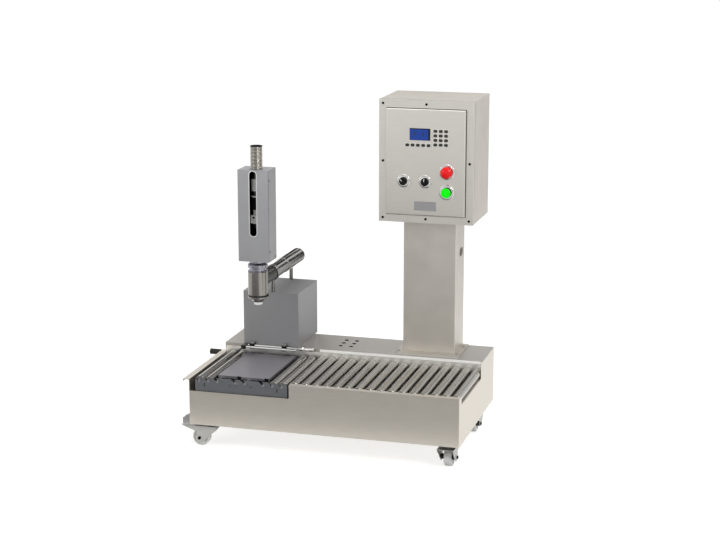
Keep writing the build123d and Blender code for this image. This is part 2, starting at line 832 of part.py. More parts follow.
# Housing of the filling head: a square tube with closed ends and a long window in its front
def head_housing():
    width = (nozzle_x - housing_width / 2, nozzle_x + housing_width / 2)
    depth = (housing_front, housing_front + housing_depth)
    wall = housing_wall
    housing = block(width, depth, (housing_bottom, housing_top))
    inner_width = (width[0] + wall, width[1] - wall)
    inner_depth = (depth[0] + wall, depth[1] - wall)
    housing -= block(inner_width, inner_depth, (housing_bottom + wall, housing_top - wall))
    window_bottom = housing_bottom + window_bottom_gap
    window_top = housing_top - window_top_gap
    middle = (window_bottom + window_top) / 2
    face = Plane(origin=(nozzle_x, depth[0] - wall, middle), x_dir=(0, 0, 1), z_dir=(0, 1, 0))
    housing -= extrude(face * SlotOverall(window_top - window_bottom, window_width), 3 * wall)
    top = (nozzle_x, nozzle_y, housing_top)
    housing -= bar((nozzle_x, nozzle_y, housing_top - wall), top, barrel_radius)
    bottom = (nozzle_x, nozzle_y, housing_bottom)
    return housing - bar(bottom, (nozzle_x, nozzle_y, housing_bottom + wall), stem_radius + 1)


# Inlet pipe with its welded rings and sleeves and two posts on the equipment box
def inlet_pipe():
    start = (nozzle_x, pipe_start, pipe_z)
    end = (nozzle_x, pipe_end, pipe_z)
    pipe = bar(start, end, pipe_radius)
    for y in post_places:
        pipe += bar((nozzle_x + post_shift, y, box_top), (nozzle_x + post_shift, y, pipe_z), post_radius)
    for y, width, radius in pipe_sleeves:
        pipe += bar((nozzle_x, y, pipe_z), (nozzle_x, y + width, pipe_z), radius)
    return pipe - bar(start, end, pipe_radius - pipe_wall)


# Equipment box: a folded sheet cover on the deck, with a return that closes it behind the deck
def equipment_box():
    width = (box_left, box_left + box_length)
    depth = (box_front, box_front + box_depth)
    box = block(width, depth, (deck_height, box_top))
    box = fillet(box.edges().filter_by(Axis.Z), corner_radius)
    inner_width = (width[0] + sheet, width[1] - sheet)
    inner_depth = (depth[0] + sheet, depth[1] - sheet)
    box -= block(inner_width, inner_depth, (deck_height, box_top - sheet))
    return_depth = (tray_width - box_return, inner_depth[1])
    return box + block(inner_width, return_depth, (deck_height, deck_height + sheet))


# Column on its bolted base flange
def column_bolt_places():
    """Centres of the column's four base bolts."""
    left = column_left - column_bolt_side
    right = column_left + column_width + column_bolt_side
    return [(x, y) for x in (left, right) for y in (column_front - column_bolt_ahead, column_bolt_rear_y)]


def column():
    left, right = column_left, column_left + column_width
    rear = column_front + column_depth
    tube = block((left, right), (column_front, rear), (column_bottom, enclosure_bottom))
    tube = fillet(tube.edges().filter_by(Axis.Z), corner_radius)
    hollow_width = (left + column_wall, right - column_wall)
    hollow_depth = (column_front + column_wall, rear - column_wall)
    tube -= block(hollow_width, hollow_depth, (column_bottom, enclosure_bottom))
    low_x, high_x = left - column_base_side, right + column_base_side
    low_y = column_front - column_base_front
    cut = column_base_chamfer
    outline = [
        (low_x, rear, deck_height),
        (low_x, low_y + cut, deck_height),
        (low_x + cut, low_y, deck_height),
        (high_x - cut, low_y, deck_height),
        (high_x, low_y + cut, deck_height),
        (high_x, rear, deck_height),
    ]
    tube += slab(outline, (0, 0, column_base_sheet))
    for x, y in column_bolt_places():
        tube -= bar((x, y, deck_height), (x, y, column_bottom), column_bolt_radius + bolt_gap)
    return tube


def column_bolts():
    bolts = []
    for x, y in column_bolt_places():
        head = Pos(x, y, column_bottom) * RegularPolygon(column_bolt_head_radius, 6)
        shank = bar((x, y, deck_underside - sheet), (x, y, column_bottom), column_bolt_radius)
        bolts.append(extrude(head, column_bolt_head_height) + shank)
    return group(*bolts)


# Control box body: a sheet box, open at the front where the cover closes it
def enclosure_body():
    right = enclosure_left + enclosure_width
    rear = enclosure_front + enclosure_depth
    wall = enclosure_wall
    body = block((enclosure_left, right), (cover_back, rear), (enclosure_bottom, enclosure_top))
    inner_height = (enclosure_bottom + wall, enclosure_top - wall)
    return body - block((enclosure_left + wall, right - wall), (cover_back, rear - wall), inner_height)


# Front cover: a rimmed plate with a raised panel, drilled for the screws and the four controls
def screw_places():
    """Centres of the seven cover screws; the photographed cover has none at its top right."""
    left = enclosure_left + screw_inset
    right = enclosure_left + enclosure_width - screw_inset
    low, high = enclosure_bottom + screw_inset, enclosure_top - screw_inset
    middle_z = (low + high) / 2
    return [
        (left, high),
        (column_middle_x, high),
        (left, middle_z),
        (right, middle_z),
        (left, low),
        (column_middle_x, low),
        (right, low),
    ]


def enclosure_cover():
    right = enclosure_left + enclosure_width
    cover = block((enclosure_left, right), (enclosure_front, cover_back), (enclosure_bottom, enclosure_top))
    half = panel_width / 2
    panel_low = enclosure_bottom + panel_bottom_gap
    width = (column_middle_x - half, column_middle_x + half)
    panel = block(width, (panel_front, enclosure_front), (panel_low, panel_low + panel_height))
    front_edges = panel.edges().filter_by(lambda edge: edge.center().Y < panel_front + panel_raise / 4)
    cover += fillet(front_edges, panel_edge_radius)
    rim = cover_rim
    inner_width = (enclosure_left + rim, right - rim)
    inner_height = (enclosure_bottom + rim, enclosure_top - rim)
    cover -= block(inner_width, (enclosure_front + cover_skin, cover_back), inner_height)
    for x, z in screw_places():
        start = (x, enclosure_front, z)
        cover -= bar(start, (x, enclosure_front + screw_length + 1, z), screw_radius + bolt_gap)
    for x, z, radius in control_places():
        cover -= bar((x, panel_front, z), (x, cover_back, z), radius + 1)
    return cover


def cover_screws():
    screws = []
    for x, z in screw_places():
        front = enclosure_front - screw_head_height
        head = bar((x, front, z), (x, enclosure_front, z), screw_head_radius)
        shank = bar((x, enclosure_front, z), (x, enclosure_front + screw_length, z), screw_radius)
        screws.append(head + shank)
    return group(*screws)


# Controls on the raised panel
def control_places():
    """Middle and stem radius of each control: stop, start, left selector, right selector."""
    rows = [
        (stop_button_x, stop_button_z, button_stem_radius),
        (start_button_x, start_button_z, button_stem_radius),
        (left_selector_x, selector_z, selector_stem_radius),
        (right_selector_x, selector_z, selector_stem_radius),
    ]
    return [(column_middle_x + x, enclosure_bottom + z, radius) for x, z, radius in rows]


def control_bezels():
    bezels = []
    outer_radii = [button_bezel_radius] * 2 + [selector_bezel_radius] * 2
    for (x, z, stem), outer in zip(control_places(), outer_radii):
        ends = ((x, bezel_front, z), (x, panel_front, z))
        bezels.append(bar(*ends, outer) - bar(*ends, stem + running_gap))
    return group(*bezels)


def push_button(index, radius, depth, domed):
    """A button cap on a stem: the stem runs in its bezel, and a domed cap has a rounded front."""
    x, z, stem_radius_here = control_places()[index]
    back = bezel_front - button_rest_gap
    stem = bar((x, back, z), (x, panel_front + button_stem_reach, z), stem_radius_here)
    cap = bar((x, back - depth, z), (x, back, z), radius)
    if domed:
        front_rim = cap.edges().filter_by(GeomType.CIRCLE).sort_by(Axis.Y)[0]
        cap = fillet(front_rim, 0.6 * depth)
    return cap + stem


def selector(index, pointer_angle):
    """A selector knob: a round base with a grip bar, turned to the angle that it points to."""
    x, z, stem_radius_here = control_places()[index]
    back = bezel_front - seat_gap
    front = back - selector_depth
    knob = bar((x, panel_front + button_stem_reach, z), (x, back, z), stem_radius_here)
    knob += bar((x, back, z), (x, front, z), selector_radius)
    half = selector_grip_width / 2
    length = 0.95 * selector_radius
    grip = block((-half, half), (front - selector_grip_depth, front), (-length, length))
    return knob + Pos(x, 0, z) * Rot(0, pointer_angle, 0) * grip


def display():
    x = column_middle_x + display_x
    z = enclosure_bottom + display_z
    half_width, half_height = display_width / 2, display_height / 2
    front = panel_front - display_raise
    screen = block((x - half_width, x + half_width), (front, panel_front), (z - half_height, z + half_height))
    half_width -= display_rim
    half_height -= display_rim
    width = (x - half_width, x + half_width)
    return screen - block(width, (front, front + display_raise / 2), (z - half_height, z + half_height))


def key_pad(x, z, columns, rows):
    """A thin mat with raised keys in columns and rows about the point x, z."""
    width = columns * key_pitch_x
    height = rows * key_pitch_z
    back = panel_front - key_mat
    pad = block((x - width / 2, x + width / 2), (back, panel_front), (z - height / 2, z + height / 2))
    for column_index in range(columns):
        for row_index in range(rows):
            key_x = x + (column_index - (columns - 1) / 2) * key_pitch_x
            key_z = z + (row_index - (rows - 1) / 2) * key_pitch_z
            key_across = (key_x - key_width / 2, key_x + key_width / 2)
            key_up = (key_z - key_height / 2, key_z + key_height / 2)
            pad += block(key_across, (back - key_raise, back), key_up)
    return pad


def keypad():
    numbers = key_pad(column_middle_x + number_keys_x, enclosure_bottom + number_keys_z, 3, 4)
    functions = key_pad(column_middle_x + function_keys_x, enclosure_bottom + function_keys_z, 5, 1)
    return group(numbers, functions)


# All nodes by name
nodes = {
    "base_tray": base_tray(),
    "deck_plate": deck_plate(),
    "base_frame": base_frame(),
    "roller_axles": roller_axles(),
    "scale_frame": scale_frame(),
    "scale_plate": scale_plate(),
    "load_cells": load_cells(),
    "stop_clamps": stop_clamps(),
    "container_stop": container_stop(),
    "stop_knob_left": stop_knob(clamp_places[0]),
    "stop_knob_right": stop_knob(clamp_places[1]),
    "castor_pads": castor_pads(),
    "corner_bracket": corner_bracket(),
    "valve_body": valve_body(),
    "nozzle_tip": nozzle_tip(),
    "valve_stem": valve_stem(),
    "actuator": actuator(),
    "head_housing": head_housing(),
    "inlet_pipe": inlet_pipe(),
    "equipment_box": equipment_box(),
    "column": column(),
    "column_bolts": column_bolts(),
    "enclosure_body": enclosure_body(),
    "enclosure_cover": enclosure_cover(),
    "cover_screws": cover_screws(),
    "control_bezels": control_bezels(),
    "stop_button": push_button(0, stop_button_radius, stop_button_depth, True),
    "start_button": push_button(1, start_button_radius, start_button_depth, False),
    "selector_left": selector(2, -45),
    "selector_right": selector(3, 0),
    "display": display(),
    "keypad": keypad(),
}
lane_front = front_flange + roller_end_gap
lane_rear = rear_rail_y - roller_end_gap
for number, x in enumerate(lane_roller_x, 1):
    nodes[f"lane_roller_{number:02d}"] = roller(x, lane_front, lane_rear)
scale_front = scale_frame_front + scale_frame_sheet + roller_end_gap
scale_rear = scale_frame_rear - scale_frame_sheet - roller_end_gap
for number, x in enumerate(scale_roller_x, 1):
    nodes[f"scale_roller_{number}"] = roller(x, scale_front, scale_rear)
castor_names = ("front_left", "front_right", "rear_left", "rear_right")
castor_headings = (180, 90, -90, -90)
for name, (x, y), heading in zip(castor_names, castor_places(), castor_headings):
    nodes[f"castor_fork_{name}"] = castor_fork(x, y, heading)
    nodes[f"castor_wheel_{name}"] = castor_wheel(x, y, heading)

# The origin is the middle of the footprint, on the floor
footprint_middle_x = (tray_length - stub_reach) / 2
footprint_front_y = min(0, castor_front_y - fork_short_reach)
footprint_middle_y = (footprint_front_y + pipe_end) / 2
to_origin = Location((-footprint_middle_x, -footprint_middle_y, castor_height))
for name, shape in nodes.items():
    export_step(shape.moved(to_origin), f"parts/{name}.step")
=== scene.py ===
"""Looks of a single nozzle filling machine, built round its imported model.

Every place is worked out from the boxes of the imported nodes, in metres, in the row frame: x runs along
the roller lane, y from the operator's side to the rear, z up from the floor.
"""

from __future__ import annotations

import json
import logging
import math
from dataclasses import dataclass, field
from enum import Enum

import bmesh
import bpy
import numpy as np
from mathutils import Matrix, Vector

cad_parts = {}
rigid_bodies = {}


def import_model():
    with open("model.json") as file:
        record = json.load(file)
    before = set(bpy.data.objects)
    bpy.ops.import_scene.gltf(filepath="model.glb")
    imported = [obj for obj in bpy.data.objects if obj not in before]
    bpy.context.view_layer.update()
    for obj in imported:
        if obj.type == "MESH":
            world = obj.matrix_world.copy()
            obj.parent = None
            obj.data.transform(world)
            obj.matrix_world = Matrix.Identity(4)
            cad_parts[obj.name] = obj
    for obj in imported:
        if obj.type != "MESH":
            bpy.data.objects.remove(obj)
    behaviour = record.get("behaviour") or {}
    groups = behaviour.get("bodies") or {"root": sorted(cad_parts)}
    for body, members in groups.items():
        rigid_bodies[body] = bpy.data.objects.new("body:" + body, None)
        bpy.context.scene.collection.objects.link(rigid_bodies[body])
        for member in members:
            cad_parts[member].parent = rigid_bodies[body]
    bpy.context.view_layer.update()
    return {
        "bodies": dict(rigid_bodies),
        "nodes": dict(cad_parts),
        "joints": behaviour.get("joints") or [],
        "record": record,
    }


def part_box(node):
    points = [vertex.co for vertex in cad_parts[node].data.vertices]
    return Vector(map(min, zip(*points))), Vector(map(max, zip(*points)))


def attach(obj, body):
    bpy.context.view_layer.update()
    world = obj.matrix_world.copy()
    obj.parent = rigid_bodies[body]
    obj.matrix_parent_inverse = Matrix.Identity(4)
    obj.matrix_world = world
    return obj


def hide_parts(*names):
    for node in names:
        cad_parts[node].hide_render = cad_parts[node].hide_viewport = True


LOG = logging.getLogger("filling_machine")
MM = 0.001
ROUND_STEPS = 72
FINE_STEPS = 40
SHARP_ANGLE = math.radians(38)
RIGHT, REAR, FRONT, UP = (1, 0, 0), (0, 1, 0), (0, -1, 0), (0, 0, 1)
Mesh = tuple[np.ndarray, list]
Nodes = dict[str, bpy.types.Object]
Place = tuple[float, float, float] | np.ndarray


class Along(Enum):
    """The direction that a brushed grain, or a turned piece's axis, runs in."""

    X = 0
    Y = 1
    Z = 2


# Node trees


def linear(code: str) -> tuple[float, float, float, float]:
    """Turns an sRGB hex colour into the linear values that a shader takes.

    Args:
        code: six hex digits, two each for red, green and blue.

    Returns:
        Red, green, blue and an alpha of 1.
    """
    parts = np.array([int(code[start : start + 2], 16) for start in (0, 2, 4)]) / 255
    values = np.where(parts <= 0.04045, parts / 12.92, ((parts + 0.055) / 1.055) ** 2.4)
    return (*(float(value) for value in values), 1.0)


def fill(node: bpy.types.Node, inputs: dict) -> None:
    """Fills a node's inputs: a plain value is set, and another node's output is linked.

    Args:
        node: the node.
        inputs: socket name or number to the value or output.
    """
    for name, value in inputs.items():
        if isinstance(value, bpy.types.NodeSocket):
            node.id_data.links.new(value, node.inputs[name])
        else:
            node.inputs[name].default_value = value


def add_node(tree: bpy.types.NodeTree, kind: str, inputs: dict | None = None, **settings) -> bpy.types.Node:
    """Adds a node, sets its properties and fills its inputs.

    Args:
        tree: the node tree that gets the node.
        kind: Blender's name of the node's type.
        inputs: what its inputs hold, as in fill.
        settings: the node's own properties.

    Returns:
        The new node.
    """
    node = tree.nodes.new(kind)
    for name, value in settings.items():
        setattr(node, name, value)
    fill(node, inputs or {})
    return node


def coordinates(shader: bpy.types.Node, cell_mm: tuple[float, float, float]) -> bpy.types.NodeSocket:
    """Object coordinates in which a noise has cells of a given size.

    Args:
        shader: a node of the tree.
        cell_mm: the cell's size along x, y and z.

    Returns:
        The coordinates' output.
    """
    place = add_node(shader.id_data, "ShaderNodeTexCoord")
    scale = tuple(1 / (size * MM) for size in cell_mm)
    inputs = {"Vector": place.outputs["Object"], "Scale": scale}
    return add_node(shader.id_data, "ShaderNodeMapping", inputs).outputs["Vector"]


def noise(vector: bpy.types.NodeSocket, detail: float) -> bpy.types.NodeSocket:
    """Strength of a noise over the given coordinates, with finer noise laid on top by its detail."""
    inputs = {"Vector": vector, "Scale": 1.0, "Detail": detail}
    return add_node(vector.id_data, "ShaderNodeTexNoise", inputs).outputs["Fac"]


def stretched(cell_mm: float, axis: Along, length_mm: float) -> tuple[float, float, float]:
    """A cell's size along x, y and z: the same each way, but for one axis."""
    return tuple(length_mm if number == axis.value else cell_mm for number in range(3))


def new_material(name: str) -> tuple[bpy.types.Material, bpy.types.Node]:
    """Starts a material with an empty tree and a principled shader on its output.

    Args:
        name: the material's name.

    Returns:
        The material and its principled shader.
    """
    material = bpy.data.materials.new(name)
    material.use_nodes = True
    material.node_tree.nodes.clear()
    shader = add_node(material.node_tree, "ShaderNodeBsdfPrincipled")
    add_node(material.node_tree, "ShaderNodeOutputMaterial", {"Surface": shader.outputs["BSDF"]})
    return material, shader


def mottled(vector: bpy.types.NodeSocket, colour: str, spread: float) -> bpy.types.NodeSocket:
    """A colour that wanders a little lighter and darker with a slow noise.

    Args:
        vector: coordinates of the noise.
        colour: sRGB hex of the middle colour.
        spread: share by which the colour goes up and down.

    Returns:
        The colour's output.
    """
    ramp = add_node(vector.id_data, "ShaderNodeValToRGB", {"Fac": noise(vector, 3.0)})
    for element, position, factor in zip(ramp.color_ramp.elements, (0.3, 0.7), (1 - spread, 1 + spread)):
        element.position = position
        element.color = [min(1.0, channel * factor) for channel in linear(colour)[:3]] + [1.0]
    return ramp.outputs["Color"]


def bumped(height: bpy.types.NodeSocket, strength: float, depth_mm: float) -> bpy.types.NodeSocket:
    """A normal that follows a fine bump of a given height, strength and depth."""
    inputs = {"Height": height, "Strength": strength, "Distance": depth_mm * MM}
    return add_node(height.id_data, "ShaderNodeBump", inputs).outputs["Normal"]


def mapped(
    value: bpy.types.NodeSocket, low: float, high: float, start: float = 0.0, end: float = 1.0
) -> bpy.types.NodeSocket:
    """A value between start and end, carried over to between low and high."""
    inputs = {"Value": value, "From Min": start, "From Max": end, "To Min": low, "To Max": high}
    return add_node(value.id_data, "ShaderNodeMapRange", inputs).outputs["Result"]


# Finishes


@dataclass(frozen=True)
class BrushedSteel:
    """Stainless sheet, belt brushed in one direction: long fine lines that stretch each highlight."""

    name: str
    colour: str
    roughness: float
    grain: Along
    line_mm: float = 1.2
    line_length_mm: float = 60.0
    bump: float = 0.15
    metallic: float = 1.0
    colour_spread: float = 0.05
    roughness_spread: float = 0.05

    def build(self) -> bpy.types.Material:
        """Builds the material.

        Returns:
            The material.
        """
        material, shader = new_material(self.name)
        lines = coordinates(shader, stretched(self.line_mm, self.grain, self.line_length_mm))
        height = noise(lines, 2.0)
        low, high = self.roughness - self.roughness_spread, self.roughness + self.roughness_spread
        inputs = {
            "Base Color": mottled(lines, self.colour, self.colour_spread),
            "Roughness": mapped(height, low, high, 0.3, 0.7),
            "Normal": bumped(height, self.bump, 0.02),
            "Metallic": self.metallic,
        }
        fill(shader, inputs)
        return material


@dataclass(frozen=True)
class BlastedSteel:
    """Steel with a fine even grit, bead blasted or zinc plated: soft wide highlights, faint clouds."""

    name: str
    colour: str
    roughness: float
    grit_mm: float = 0.8
    cloud_mm: float = 90.0
    metallic: float = 1.0
    colour_spread: float = 0.04
    bump: float = 0.12

    def build(self) -> bpy.types.Material:
        """Builds the material.

        Returns:
            The material.
        """
        material, shader = new_material(self.name)
        inputs = {
            "Base Color": mottled(coordinates(shader, (self.cloud_mm,) * 3), self.colour, self.colour_spread),
            "Roughness": self.roughness,
            "Normal": bumped(noise(coordinates(shader, (self.grit_mm,) * 3), 1.0), self.bump, 0.03),
            "Metallic": self.metallic,
        }
        fill(shader, inputs)
        return material


@dataclass(frozen=True)
class TurnedSteel:
    """Stainless bar or tube, ground or polished round: faint rings across its axis, sharp reflections."""

    name: str
    colour: str
    roughness: float
    axis: Along
    ring_mm: float = 1.5
    ring_width_mm: float = 250.0
    colour_spread: float = 0.06
    roughness_spread: float = 0.04
    least_roughness: float = 0.02

    def build(self) -> bpy.types.Material:
        """Builds the material.

        Returns:
            The material.
        """
        material, shader = new_material(self.name)
        rings = coordinates(shader, stretched(self.ring_width_mm, self.axis, self.ring_mm))
        low = max(self.least_roughness, self.roughness - self.roughness_spread)
        high = self.roughness + self.roughness_spread
        inputs = {
            "Base Color": mottled(rings, self.colour, self.colour_spread),
            "Roughness": mapped(noise(rings, 2.0), low, high),
            "Metallic": 1.0,
        }
        fill(shader, inputs)
        return material


@dataclass(frozen=True)
class Moulded:
    """Moulded plastic or rubber: even colour, a fine spark-eroded skin that softens the gloss."""

    name: str
    colour: str
    roughness: float
    skin_mm: float = 0.7
    cloud_mm: float = 30.0
    colour_spread: float = 0.03
    bump: float = 0.1
    coat: float = 0.0
    # Emission strength: painted glow on the buttons, the backlight on the screen.
    glow: float = 0.0
    specular: float = 0.5

    def build(self) -> bpy.types.Material:
        """Builds the material.

        Returns:
            The material.
        """
        material, shader = new_material(self.name)
        inputs = {
            "Base Color": mottled(coordinates(shader, (self.cloud_mm,) * 3), self.colour, self.colour_spread),
            "Roughness": self.roughness,
            "Normal": bumped(noise(coordinates(shader, (self.skin_mm,) * 3), 1.0), self.bump, 0.02),
            "Coat Weight": self.coat,
            "Specular IOR Level": self.specular,
        }
        if self.glow:
            inputs |= {"Emission Color": linear(self.colour), "Emission Strength": self.glow}
        fill(shader, inputs)
        return material


class Palette:
    """Every finish of the machine, built once and handed out by its own name."""

    tray = BrushedSteel("brushed_stainless_tray", "D0CAC0", 0.42, Along.X)
    deck = BrushedSteel("brushed_stainless_deck", "B6B2AC", 0.40, Along.X)
    # The frame's near-white colour is a painted reflection of white surroundings on the band behind the
    # rollers.
    rail = BrushedSteel("stainless_frame_painted_bright", "F2F0EC", 0.36, Along.X)
    # A near-white sheet on the deck's front lip: painted highlight, not a finish of the steel.
    painted_lip_strip = BlastedSteel("painted_lip_highlight", "FAF9F6", 0.5, metallic=0.3)
    cabinet = BlastedSteel("bead_blasted_stainless_cabinet", "C6C1B9", 0.45)
    panel = BrushedSteel("brushed_stainless_panel", "CCC8C2", 0.40, Along.X)
    head = BlastedSteel("bead_blasted_steel_head", "A6A6A8", 0.48)
    box = BrushedSteel("brushed_steel_box", "9A9A9C", 0.45, Along.Z)
    roller = BrushedSteel("brushed_stainless_roller", "A3A09A", 0.26, Along.Y, line_length_mm=120.0)
    scale = BrushedSteel("brushed_steel_weighing_frame", "84868A", 0.40, Along.X)
    plate = BrushedSteel("brushed_steel_weighing_plate", "918F93", 0.48, Along.Y)
    zinc = BlastedSteel("zinc_plated_steel", "A9A9A6", 0.38, cloud_mm=25.0)
    valve = TurnedSteel("polished_stainless_valve", "8B8883", 0.20, Along.Z)
    pipe = TurnedSteel("polished_stainless_pipe", "9A9894", 0.12, Along.Y)
    rod = TurnedSteel("ground_steel_rod", "D4D4D2", 0.18, Along.X)
    thread = TurnedSteel("threaded_stainless_tube", "ABA8A2", 0.26, Along.Z)
    valve_cap = TurnedSteel("polished_stainless_valve_cap", "94929A", 0.24, Along.Z)
    post = TurnedSteel("polished_stainless_post", "7A7874", 0.16, Along.Z)
    # Black oxide on nuts, bolts, clamps and the stop's block; on the pipe's neck and the valve's spigot this
    # dark colour is painted shade and reflection.
    dark_polish_and_painted_shade = TurnedSteel("black_oxide_steel_and_painted_shade", "34332F", 0.22, Along.X)
    sleeve = TurnedSteel("polished_aluminium_sleeve", "E0DFDC", 0.16, Along.X)
    # A pale strip laid on edges as painted highlight: around the head's window and along the column's flange.
    painted_highlight_edge = BlastedSteel("painted_edge_highlight", "DCDCDA", 0.35, cloud_mm=20.0)
    bezel = TurnedSteel("polished_aluminium_bezel", "D9D8D6", 0.18, Along.Y)
    fork = BlastedSteel("zinc_plated_pressed_fork", "A8A7A3", 0.36, cloud_mm=25.0)
    slot_shade = Moulded("shaded_slot", "6E665C", 0.6, specular=0.2)
    aluminium = BlastedSteel("anodised_aluminium", "C4C4C2", 0.35, cloud_mm=20.0)
    black = Moulded("black_moulded_plastic", "080808", 0.34, specular=0.2)
    dark_steel = BlastedSteel("blackened_steel", "2B2B2A", 0.45, cloud_mm=20.0)
    white = Moulded("white_acetal", "EDEDEA", 0.35)
    wheel = Moulded("white_nylon_wheel", "E2E2DE", 0.42)
    # Black rubber; also a painted shadow around the control box's raised panel.
    rubber_and_painted_shadow = Moulded("black_rubber_and_painted_shadow", "141414", 0.7)
    # The buttons' emission is painted glow that brightens their colour; they hold no lamp.
    red = Moulded("red_button_plastic_with_painted_glow", "E00408", 0.24, coat=0.1, specular=0.3, glow=0.08)
    green = Moulded("green_button_plastic_with_painted_glow", "00EA08", 0.32, specular=0.2, glow=0.2)
    screen = Moulded("blue_liquid_crystal_screen", "123A90", 0.22, specular=0.3, glow=0.06)
    screen_mark = Moulded("dark_liquid_crystal_mark", "06204F", 0.3)
    key = Moulded("dark_grey_key_rubber", "1E1E1C", 0.5)
    key_mat = Moulded("light_key_mat", "D2CFC9", 0.5)
    grey_plate = Moulded("grey_blank_plate", "8F8E90", 0.5)
    # Black rubber and plastic; also painted shade inside the head's housing and in the bezels' grooves.
    hole = Moulded("black_rubber_and_painted_shade", "080808", 0.8, specular=0.15)
    _built: dict[str, bpy.types.Material] = {}

    @classmethod
    def get(cls, name: str) -> bpy.types.Material:
        """Hands out a finish by its name, building it the first time.

        Args:
            name: the finish's name in this class.

        Returns:
            The material.
        """
        if name not in cls._built:
            cls._built[name] = getattr(cls, name).build()
        return cls._built[name]


# Surfaces worked out as whole arrays


def grid_faces(rows: int, columns: int, wrap_rows: bool, wrap_columns: bool) -> list:
    """Quads of a grid of points numbered row by row; a wrapped side joins its last line to its first.

    Args:
        rows: lines of points.
        columns: points in a line.
        wrap_rows: whether the last line joins the first.
        wrap_columns: whether the last point of a line joins its first.

    Returns:
        Four vertex numbers for each face.
    """
    row = np.arange(rows if wrap_rows else rows - 1)[:, None]
    column = np.arange(columns if wrap_columns else columns - 1)[None, :]
    next_row, next_column = (row + 1) % rows, (column + 1) % columns
    corners = [
        row * columns + column,
        row * columns + next_column,
        next_row * columns + next_column,
        next_row * columns + column,
    ]
    return np.stack(np.broadcast_arrays(*corners), axis=-1).reshape(-1, 4).tolist()


def eased(outline: np.ndarray, radius: float, closed: bool = True, steps: int = 4) -> np.ndarray:
    """Rounds an outline's corners: each corner becomes a parabola between two points of its sides.

    The curve is (1-t)^2 A + 2t(1-t) P + t^2 B for the corner P, with A and B at the radius from P, or
    at under half of the side where that is shorter.

    Args:
        outline: corner points, one a row.
        radius: how far from the corner the curve starts.
        closed: whether the last point joins the first; an open outline keeps its two ends.
        steps: points on each corner.

    Returns:
        The rounded outline's points.
    """
    outline = np.asarray(outline, float)
    before, after = np.roll(outline, 1, axis=0), np.roll(outline, -1, axis=0)
    to_before, to_after = before - outline, after - outline
    length_before = np.linalg.norm(to_before, axis=1, keepdims=True)
    length_after = np.linalg.norm(to_after, axis=1, keepdims=True)
    cut = np.minimum(radius, 0.45 * np.minimum(length_before, length_after))
    start = outline + to_before * cut / length_before
    end = outline + to_after * cut / length_after
    t = np.linspace(0, 1, steps)[None, :, None]
    curve = (1 - t) ** 2 * start[:, None] + 2 * t * (1 - t) * outline[:, None] + t**2 * end[:, None]
    if closed:
        return curve.reshape(-1, outline.shape[1])
    return np.vstack([outline[:1], curve[1:-1].reshape(-1, outline.shape[1]), outline[-1:]])


def turned(outline: np.ndarray, closed: bool = True) -> Mesh:
    """A turned surface about Z: each point (radius r, height h) becomes (r cos a, r sin a, h).

    Args:
        outline: radius and height of each point, as a loop, or as a line whose ends lie on the axis.
        closed: whether the outline is a loop.

    Returns:
        Vertices and faces.
    """
    angle = np.linspace(0, 2 * np.pi, ROUND_STEPS, endpoint=False)[:, None]
    radius, height = outline[None, :, 0], np.tile(outline[:, 1], (ROUND_STEPS, 1))
    points = np.stack([radius * np.cos(angle), radius * np.sin(angle), height], axis=-1)
    return points.reshape(-1, 3), grid_faces(ROUND_STEPS, len(outline), True, closed)


def raised(loops: list[tuple[np.ndarray, float]]) -> np.ndarray:
    """The points of several flat outlines, each at its own height."""
    return np.vstack([np.column_stack([loop, np.full(len(loop), height)]) for loop, height in loops])


def prism(outline: np.ndarray, height: float) -> Mesh:
    """A flat piece: the outline in the XY plane carried from zero to its height along Z.

    Args:
        outline: closed outline, x and y of each point.
        height: its thickness.

    Returns:
        Vertices and faces.
    """
    first = list(range(len(outline)))
    last = [number + len(outline) for number in first]
    faces = grid_faces(2, len(outline), False, True) + [first[::-1], last]
    return raised([(outline, 0.0), (outline, height)]), faces


def rectangle(
    width: float, height: float, radius: float = 0.0, middle: tuple[float, float] = (0, 0)
) -> np.ndarray:
    """A rectangle's outline, with rounded corners where a radius is given.

    Args:
        width: size along x.
        height: size along y.
        radius: size of the rounded corners.
        middle: centre.

    Returns:
        The outline's points.
    """
    corners = np.array([(-1, -1), (1, -1), (1, 1), (-1, 1)]) * (width / 2, height / 2) + middle
    return eased(corners, radius, steps=5) if radius else corners


def hexagon(across_flats: float) -> np.ndarray:
    """A hexagon's corners from its width across flats."""
    angle = np.arange(6) * np.pi / 3
    return across_flats / math.sqrt(3) * np.column_stack([np.cos(angle), np.sin(angle)])


def joined(*meshes: Mesh) -> Mesh:
    """Several meshes as one, each face's vertex numbers moved up past the meshes before it.

    Args:
        meshes: the meshes.

    Returns:
        Vertices and faces.
    """
    points, faces, count = [], [], 0
    for vertices, some_faces in meshes:
        points.append(vertices)
        faces += [[number + count for number in face] for face in some_faces]
        count += len(vertices)
    return np.vstack(points), faces


def placed(mesh: Mesh, origin: Place, axis: Place = UP) -> Mesh:
    """Moves a mesh drawn about Z so that its Z axis runs along the axis from the origin.

    Args:
        mesh: vertices and faces.
        origin: where the drawing's zero goes.
        axis: where its Z axis points.

    Returns:
        The moved mesh.
    """
    rotation = Vector(axis).to_track_quat("Z", "Y").to_matrix()
    return mesh[0] @ np.array(rotation).T + np.array(origin), mesh[1]


@dataclass
class NodeBox:
    """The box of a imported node, in metres."""

    node: str
    low: np.ndarray = field(init=False)
    high: np.ndarray = field(init=False)

    def __post_init__(self) -> None:
        """Reads the node's corners."""
        low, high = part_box(self.node)
        self.low, self.high = np.array(low), np.array(high)

    @property
    def middle(self) -> np.ndarray:
        """The box's centre."""
        return (self.low + self.high) / 2

    @property
    def size(self) -> np.ndarray:
        """The box's length along each axis."""
        return self.high - self.low


@dataclass(frozen=True)
class Wear:
    """What a piece wears: its finish in the palette, its slot in the record and the body it rides on."""

    finish: str
    slot: str
    body: str = "machine"


